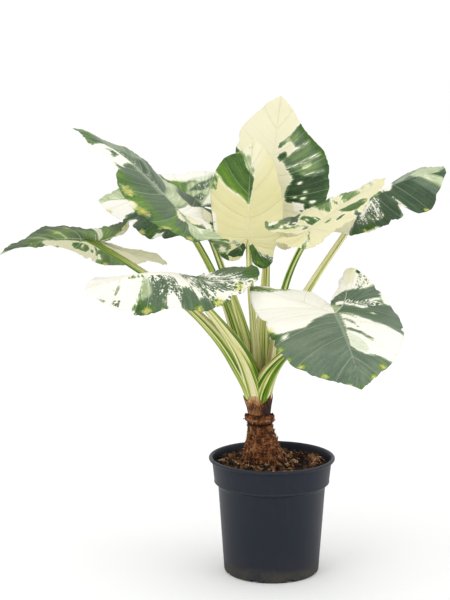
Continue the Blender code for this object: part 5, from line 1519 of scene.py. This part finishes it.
def inside_by(outline, vein, reach):
    """How far each place lies inside a closed outline; outside it is below 0."""
    places = np.stack([vein, reach * REACH_SCALE], -1)
    corners = np.array(outline, float) * (1.0, REACH_SCALE)
    nearest = np.full(vein.shape, 9.0)
    inside = np.zeros(vein.shape, bool)
    for first, second in zip(corners, np.roll(corners, -1, axis=0)):
        run = second - first
        share = np.clip((places - first) @ run / max(run @ run, 1e-9), 0, 1)
        away = np.linalg.norm(places - first - share[..., None] * run, axis=-1)
        nearest = np.minimum(nearest, away)
        spans = (first[1] > places[..., 1]) != (second[1] > places[..., 1])
        rise = np.where(abs(run[1]) > 1e-9, run[1], 1e-9)
        crossing = first[0] + (places[..., 1] - first[1]) / rise * run[0]
        inside ^= spans & (places[..., 0] < crossing)
    return np.where(inside, nearest, -nearest)


def painted(name, vein, reach):
    """Numbers that the blade's finish reads: cream, tone and lime, then fleck and warmth."""
    ground = TONES[GROUNDS[name]]
    cream = np.full(vein.shape, CREAM_LIMIT if ground.cream else -CREAM_LIMIT)
    looks = {key: np.full(vein.shape, getattr(ground, key))
             for key in ("tone", "lime", "fleck", "warm")}
    for kind, *outline in MARKINGS[name]:
        tone = TONES[kind]
        depth = inside_by(outline, vein, reach)
        cream = np.maximum(cream, depth) if tone.cream else np.minimum(cream, -depth)
        share = np.clip(depth / tone.soft + 0.5, 0, 1)
        for key in looks:
            if tone.cream and key in ("tone", "lime"):
                continue
            looks[key] = looks[key] * (1 - share) + getattr(tone, key) * share
    for at, out, size in SPOTS[name]:
        away = np.hypot(vein - at, (reach - out) * REACH_SCALE) / size
        looks["warm"] = np.maximum(looks["warm"], np.clip(1.05 - 0.42 * away, 0, 1))
    cream = np.clip(cream, -CREAM_LIMIT, CREAM_LIMIT)
    return np.stack([cream, looks["tone"], looks["lime"]], -1), looks["fleck"], looks["warm"]


GLAUCOUS_STOPS = ((0.0, (0.020, 0.045, 0.020)), (0.20, (0.048, 0.088, 0.045)),
                  (0.44, (0.112, 0.162, 0.105)), (0.62, (0.205, 0.265, 0.165)),
                  (0.78, (0.400, 0.480, 0.290)), (0.94, (0.720, 0.760, 0.600)))
LIME_STOPS = ((0.0, (0.006, 0.030, 0.002)), (0.20, (0.024, 0.078, 0.005)),
              (0.44, (0.088, 0.200, 0.010)), (0.62, (0.200, 0.320, 0.035)),
              (0.78, (0.430, 0.520, 0.170)), (0.94, (0.700, 0.740, 0.440)))
CREAM_STOPS = ((0.0, (0.905, 0.885, 0.800)), (0.45, (0.790, 0.755, 0.530)),
               (0.62, (0.740, 0.690, 0.370)), (0.80, (0.640, 0.640, 0.160)),
               (1.0, (0.660, 0.500, 0.070)))
VEIN_LINES = ((0.42, 0.50, 0.34), (0.84, 0.87, 0.74), (0.78, 0.76, 0.50))
UNDERSIDE = (0.34, 0.40, 0.17)


def blade_finish(name, under):
    """Marbled leaf skin; the underside is duller and yellower, and its veins stand out."""
    material, base = new_finish(name, Metallic=0.0, Specular_IOR_Level=0.25)
    across, over, _ = base.parts(base.node("ShaderNodeUVMap", uv_map="veins"))
    vein = across * 10.0
    reach = over * 2.0 - 1.0
    cream, tone, lime = base.parts(base.stored("paint"))
    fleck, warm, leaf = base.parts(base.stored("accent"))
    flow = base.joined(vein, reach, leaf)
    streak = base.grain(flow, (8.5, 1.6, 1.0), 3.0, 0.6)
    drops = base.grain(flow, (15.0, 17.0, 1.0), 2.0, 0.6)
    ragged = base.grain(flow, (30.0, 9.0, 1.0), 3.0, 0.65)
    bloom = base.grain(base.place(), 22.0, 3.0)
    speckle = fleck.between(0.55, 0.75)
    mottle = (streak - 0.5) * (1.3 - speckle * 0.8) + (drops - 0.5) * (0.9 + speckle * 1.3)
    edge = cream * (1.0 - fleck * 0.86) + (ragged - 0.5) * 0.16 + (streak - 0.5) * 0.10
    edge = edge + mottle * fleck * 0.62
    is_cream = edge.between(-0.008, 0.012)
    halo = edge.between(-0.075, -0.02) * 0.28
    tone = tone + (streak - 0.5) * 0.46 + (drops - 0.5) * 0.16 + (bloom - 0.5) * 0.30 + halo
    lime = lime.greater(warm.between(0.10, 0.60) * 0.9)
    green = base.mixed(lime, base.ramp(tone, GLAUCOUS_STOPS), base.ramp(tone, LIME_STOPS))
    pale = base.ramp(warm + (bloom - 0.5) * 0.12, CREAM_STOPS)
    gold = (warm + (drops - 0.5) * 0.8 + (ragged - 0.5) * 0.4).between(0.48, 1.10)
    green = base.mixed(gold * 0.95, green, pale)
    colour = base.mixed(is_cream, green, pale)
    gap = (base.math("FRACT", vein + 0.5) - 0.5).size()
    width = 0.030 - reach.size() * 0.018
    main = 1.0 - (gap / width).between(0.35, 1.0)
    second_gap = (base.math("FRACT", vein * 3.0 + 0.5) - 0.5).size()
    second = (1.0 - second_gap.between(0.03, 0.10)) * (1.0 - reach.size() * 0.5)
    rib = 1.0 - reach.size().between(0.012, 0.040)
    lines = main.greater(rib)
    strength = 0.60 if under else 0.36
    line_colour = base.mixed(tone.between(0.45, 0.80), *VEIN_LINES[:2])
    line_colour = base.mixed(is_cream, line_colour, VEIN_LINES[2])
    colour = base.mixed(lines * strength, colour, line_colour)
    colour = base.mixed(second * (0.22 if under else 0.06), colour, line_colour)
    if under:
        colour = base.mixed(0.14, colour, UNDERSIDE)
    cells = base.node("ShaderNodeTexVoronoi", {"Vector": base.place(), "Scale": 230.0},
                      feature="DISTANCE_TO_EDGE")
    net = 1.0 - cells.between(0.0, 0.12)
    colour = base.mixed(net * 0.06, colour, line_colour)
    sign = 1.0 if under else -1.0
    relief = (lines * 1.0 + second * 0.45 + net * 0.16) * sign + bloom * 0.5 + ragged * 0.12
    bump = base.bump(relief, 0.0009, 0.6)
    roughness = (0.58 if under else 0.42) + (bloom - 0.5) * 0.16 - is_cream * 0.04
    return wear(material, Base_Color=colour, Roughness=roughness, Normal=bump)


def blade_weight(vein, reach):
    """Share of the full rib thickness: midrib and lobe ribs, and thinner ribs to the margin."""
    midrib = np.clip(1 - reach / 0.04, 0, 1) * np.interp(vein, RIB_VEINS, RIB_SHARES)
    away = abs((vein + 0.5) % 1 - 0.5)
    side_rib = SIDE_RIB_SHARE * np.clip(1 - away / SIDE_RIB_WIDTH, 0, 1) * (1 - reach) ** 0.7
    return np.maximum(midrib, side_rib * np.interp(vein, (0, 1, 9, 10), (0, 1, 1, 0)))


def lifted_points(leaf, side, vein, reach):
    """Blade points with a shallow groove along each side rib and fine puckers between them."""
    step = 1e-3
    own = side * 3.1 + leaf.heading
    torn = np.array([noise.noise(Vector((value * 3.1, own, 0.0))) for value in vein])
    nicked = np.array([noise.noise(Vector((value * 11.0, own, 5.0))) for value in vein])
    held = np.clip(vein / 0.4, 0, 1) * np.clip((10 - vein) / 0.4, 0, 1) * reach ** 2
    reach = reach * (1 - held * (RAGGED * (1 + torn) + NICKED * np.clip(nicked, 0, 1)))
    for at, depth, spread in TEARS[leaf.name]:
        reach = reach * (1 - depth * held * np.exp(-((vein * side - at) / spread) ** 2))
    points = blade_points(leaf, side, vein, reach)
    along = blade_points(leaf, side, np.clip(vein + step, 0, 10), reach) - blade_points(
        leaf, side, np.clip(vein - step, 0, 10), reach)
    out = blade_points(leaf, side, vein, np.clip(reach + step, 0, 1)) - blade_points(
        leaf, side, vein, np.clip(reach - step, 0, 1))
    normal = np.cross(along, out) * -side
    length = np.linalg.norm(normal, axis=-1, keepdims=True)
    normal = np.where(length > 1e-12, normal / np.maximum(length, 1e-12), 0.0)
    away = abs((vein + 0.5) % 1 - 0.5)
    groove = np.exp(-(away / GROOVE_WIDTH) ** 2) * np.sin(math.pi * np.clip(reach, 0, 1)) ** 0.5
    groove = GROOVE * groove
    pucker = PUCKER * np.cos(6 * math.pi * vein) * np.sin(math.pi * reach)
    ruffle = RUFFLE * (torn + 0.7 * nicked) * np.clip(reach * 3 - 2, 0, 1) ** 2 * held
    return points - normal * (groove + pucker - ruffle)[..., None]


def make_blade(index, leaf, upper, lower, slot):
    """Two grids bent to shape, welded along the midrib and thickened downwards."""
    rows = len(REACH_ROWS) - 1
    sheet = bmesh.new()
    deform = sheet.verts.layers.deform.verify()
    uv = sheet.loops.layers.uv.new("veins")
    paint = sheet.loops.layers.float_vector.new("paint")
    accent = sheet.loops.layers.float_vector.new("accent")
    for side in (1, -1):
        before = set(sheet.verts)
        bmesh.ops.create_grid(sheet, x_segments=BLADE_COLUMNS, y_segments=rows, size=1.0)
        fresh = [vertex for vertex in sheet.verts if vertex not in before]
        number = {vertex: at for at, vertex in enumerate(fresh)}
        vein = np.array([(vertex.co.x + 1) / 2 for vertex in fresh]) * (len(MARGIN) - 1)
        row = np.array([(vertex.co.y + 1) / 2 for vertex in fresh]) * rows
        reach = np.array([REACH_ROWS[int(round(value))] for value in row])
        places = lifted_points(leaf, side, vein, reach)
        weights = blade_weight(vein, reach)
        colours, fleck, warm = painted(leaf.name, vein, reach * side)
        faces = {face for vertex in fresh for face in vertex.link_faces}
        for face in faces:
            for loop in face.loops:
                at = number[loop.vert]
                loop[uv].uv = (vein[at] / 10, 0.5 + 0.5 * side * reach[at])
                loop[paint] = colours[at]
                loop[accent] = (fleck[at], warm[at], index * LEAF_SHIFT)
        for vertex, place, weight in zip(fresh, places, weights):
            vertex.co = place
            vertex[deform][0] = float(weight)
        if side > 0:
            bmesh.ops.reverse_faces(sheet, faces=list(faces))
    bmesh.ops.remove_doubles(sheet, verts=list(sheet.verts), dist=BLADE_WELD)
    item = piece_of(f"leaf_{leaf.name}", sheet, upper, lower)
    item.vertex_groups.new(name="rib")
    solidify = thickened(item, RIB_THICKNESS, -1.0)
    solidify.vertex_group = "rib"
    solidify.thickness_vertex_group = EDGE_THICKNESS / RIB_THICKNESS
    solidify.material_offset = 1
    item.data.shade_smooth()
    seat(item, slot, f"blade_{leaf.name}")


upper_skin = blade_finish("blade", under=False)
lower_skin = blade_finish("blade_underside", under=True)
for index, leaf in enumerate(LEAVES):
    slot = "young_blade" if leaf.name == "young" else "blade"
    make_blade(index, leaf, upper_skin, lower_skin, slot)


# Studio: a plain pale floor, an even white surround, a large soft light from the upper left and
# a weaker one from the right, and the camera of the front view.
CAMERA_PLACE = (-0.078, -2.7, 0.896)
CAMERA_TILT = 80.8
CAMERA_LENS = 100.0
CAMERA_SENSOR = 36.0
LIGHT_TARGET = (0.0, 0.0, 0.4)
FLOOR_SIZE = 60.0
FLOOR_WHITE = (0.96, 0.96, 0.96)
FLOOR_TOOTH = (0.80, 0.80, 0.80)
SURROUND = 1.06


def soft_light(name, place, size, power):
    """A square area light that faces the middle of the plant."""
    light = bpy.data.lights.new(name, "AREA")
    light.shape = "SQUARE"
    light.size = size
    light.energy = power
    item = bpy.data.objects.new(name, light)
    bpy.context.scene.collection.objects.link(item)
    item.location = place
    way = Vector(LIGHT_TARGET) - Vector(place)
    item.rotation_euler = way.to_track_quat("-Z", "Y").to_euler()


def floor_finish():
    """Pale matte paper with the faintest tooth."""
    material, base = new_finish("floor", Metallic=0.0)
    tooth = base.grain(base.place(), 300.0, 2.0)
    colour = base.mixed(tooth * 0.02, FLOOR_WHITE, FLOOR_TOOTH)
    return wear(material, Base_Color=colour, Roughness=0.85 + tooth * 0.1)


ground = bmesh.new()
bmesh.ops.create_grid(ground, x_segments=4, y_segments=4, size=FLOOR_SIZE / 2)
floor = piece_of("floor", ground, floor_finish())

world = bpy.data.worlds.new("surround")
world.use_nodes = True
sky = world.node_tree.nodes["Background"].inputs
sky["Color"].default_value = (1.0, 1.0, 1.0, 1.0)
sky["Strength"].default_value = SURROUND
bpy.context.scene.world = world
soft_light("key_light", place=(-1.6, -1.8, 2.6), size=1.6, power=15.0)
soft_light("fill_light", place=(2.2, -1.2, 1.6), size=1.8, power=8.0)

lens = bpy.data.cameras.new("front_view")
lens.lens = CAMERA_LENS
lens.sensor_width = CAMERA_SENSOR
camera = bpy.data.objects.new("front_view", lens)
camera.location = CAMERA_PLACE
camera.rotation_euler = (math.radians(CAMERA_TILT), 0.0, 0.0)
bpy.context.scene.collection.objects.link(camera)
bpy.context.scene.camera = camera
bpy.context.scene.view_settings.view_transform = "Standard"
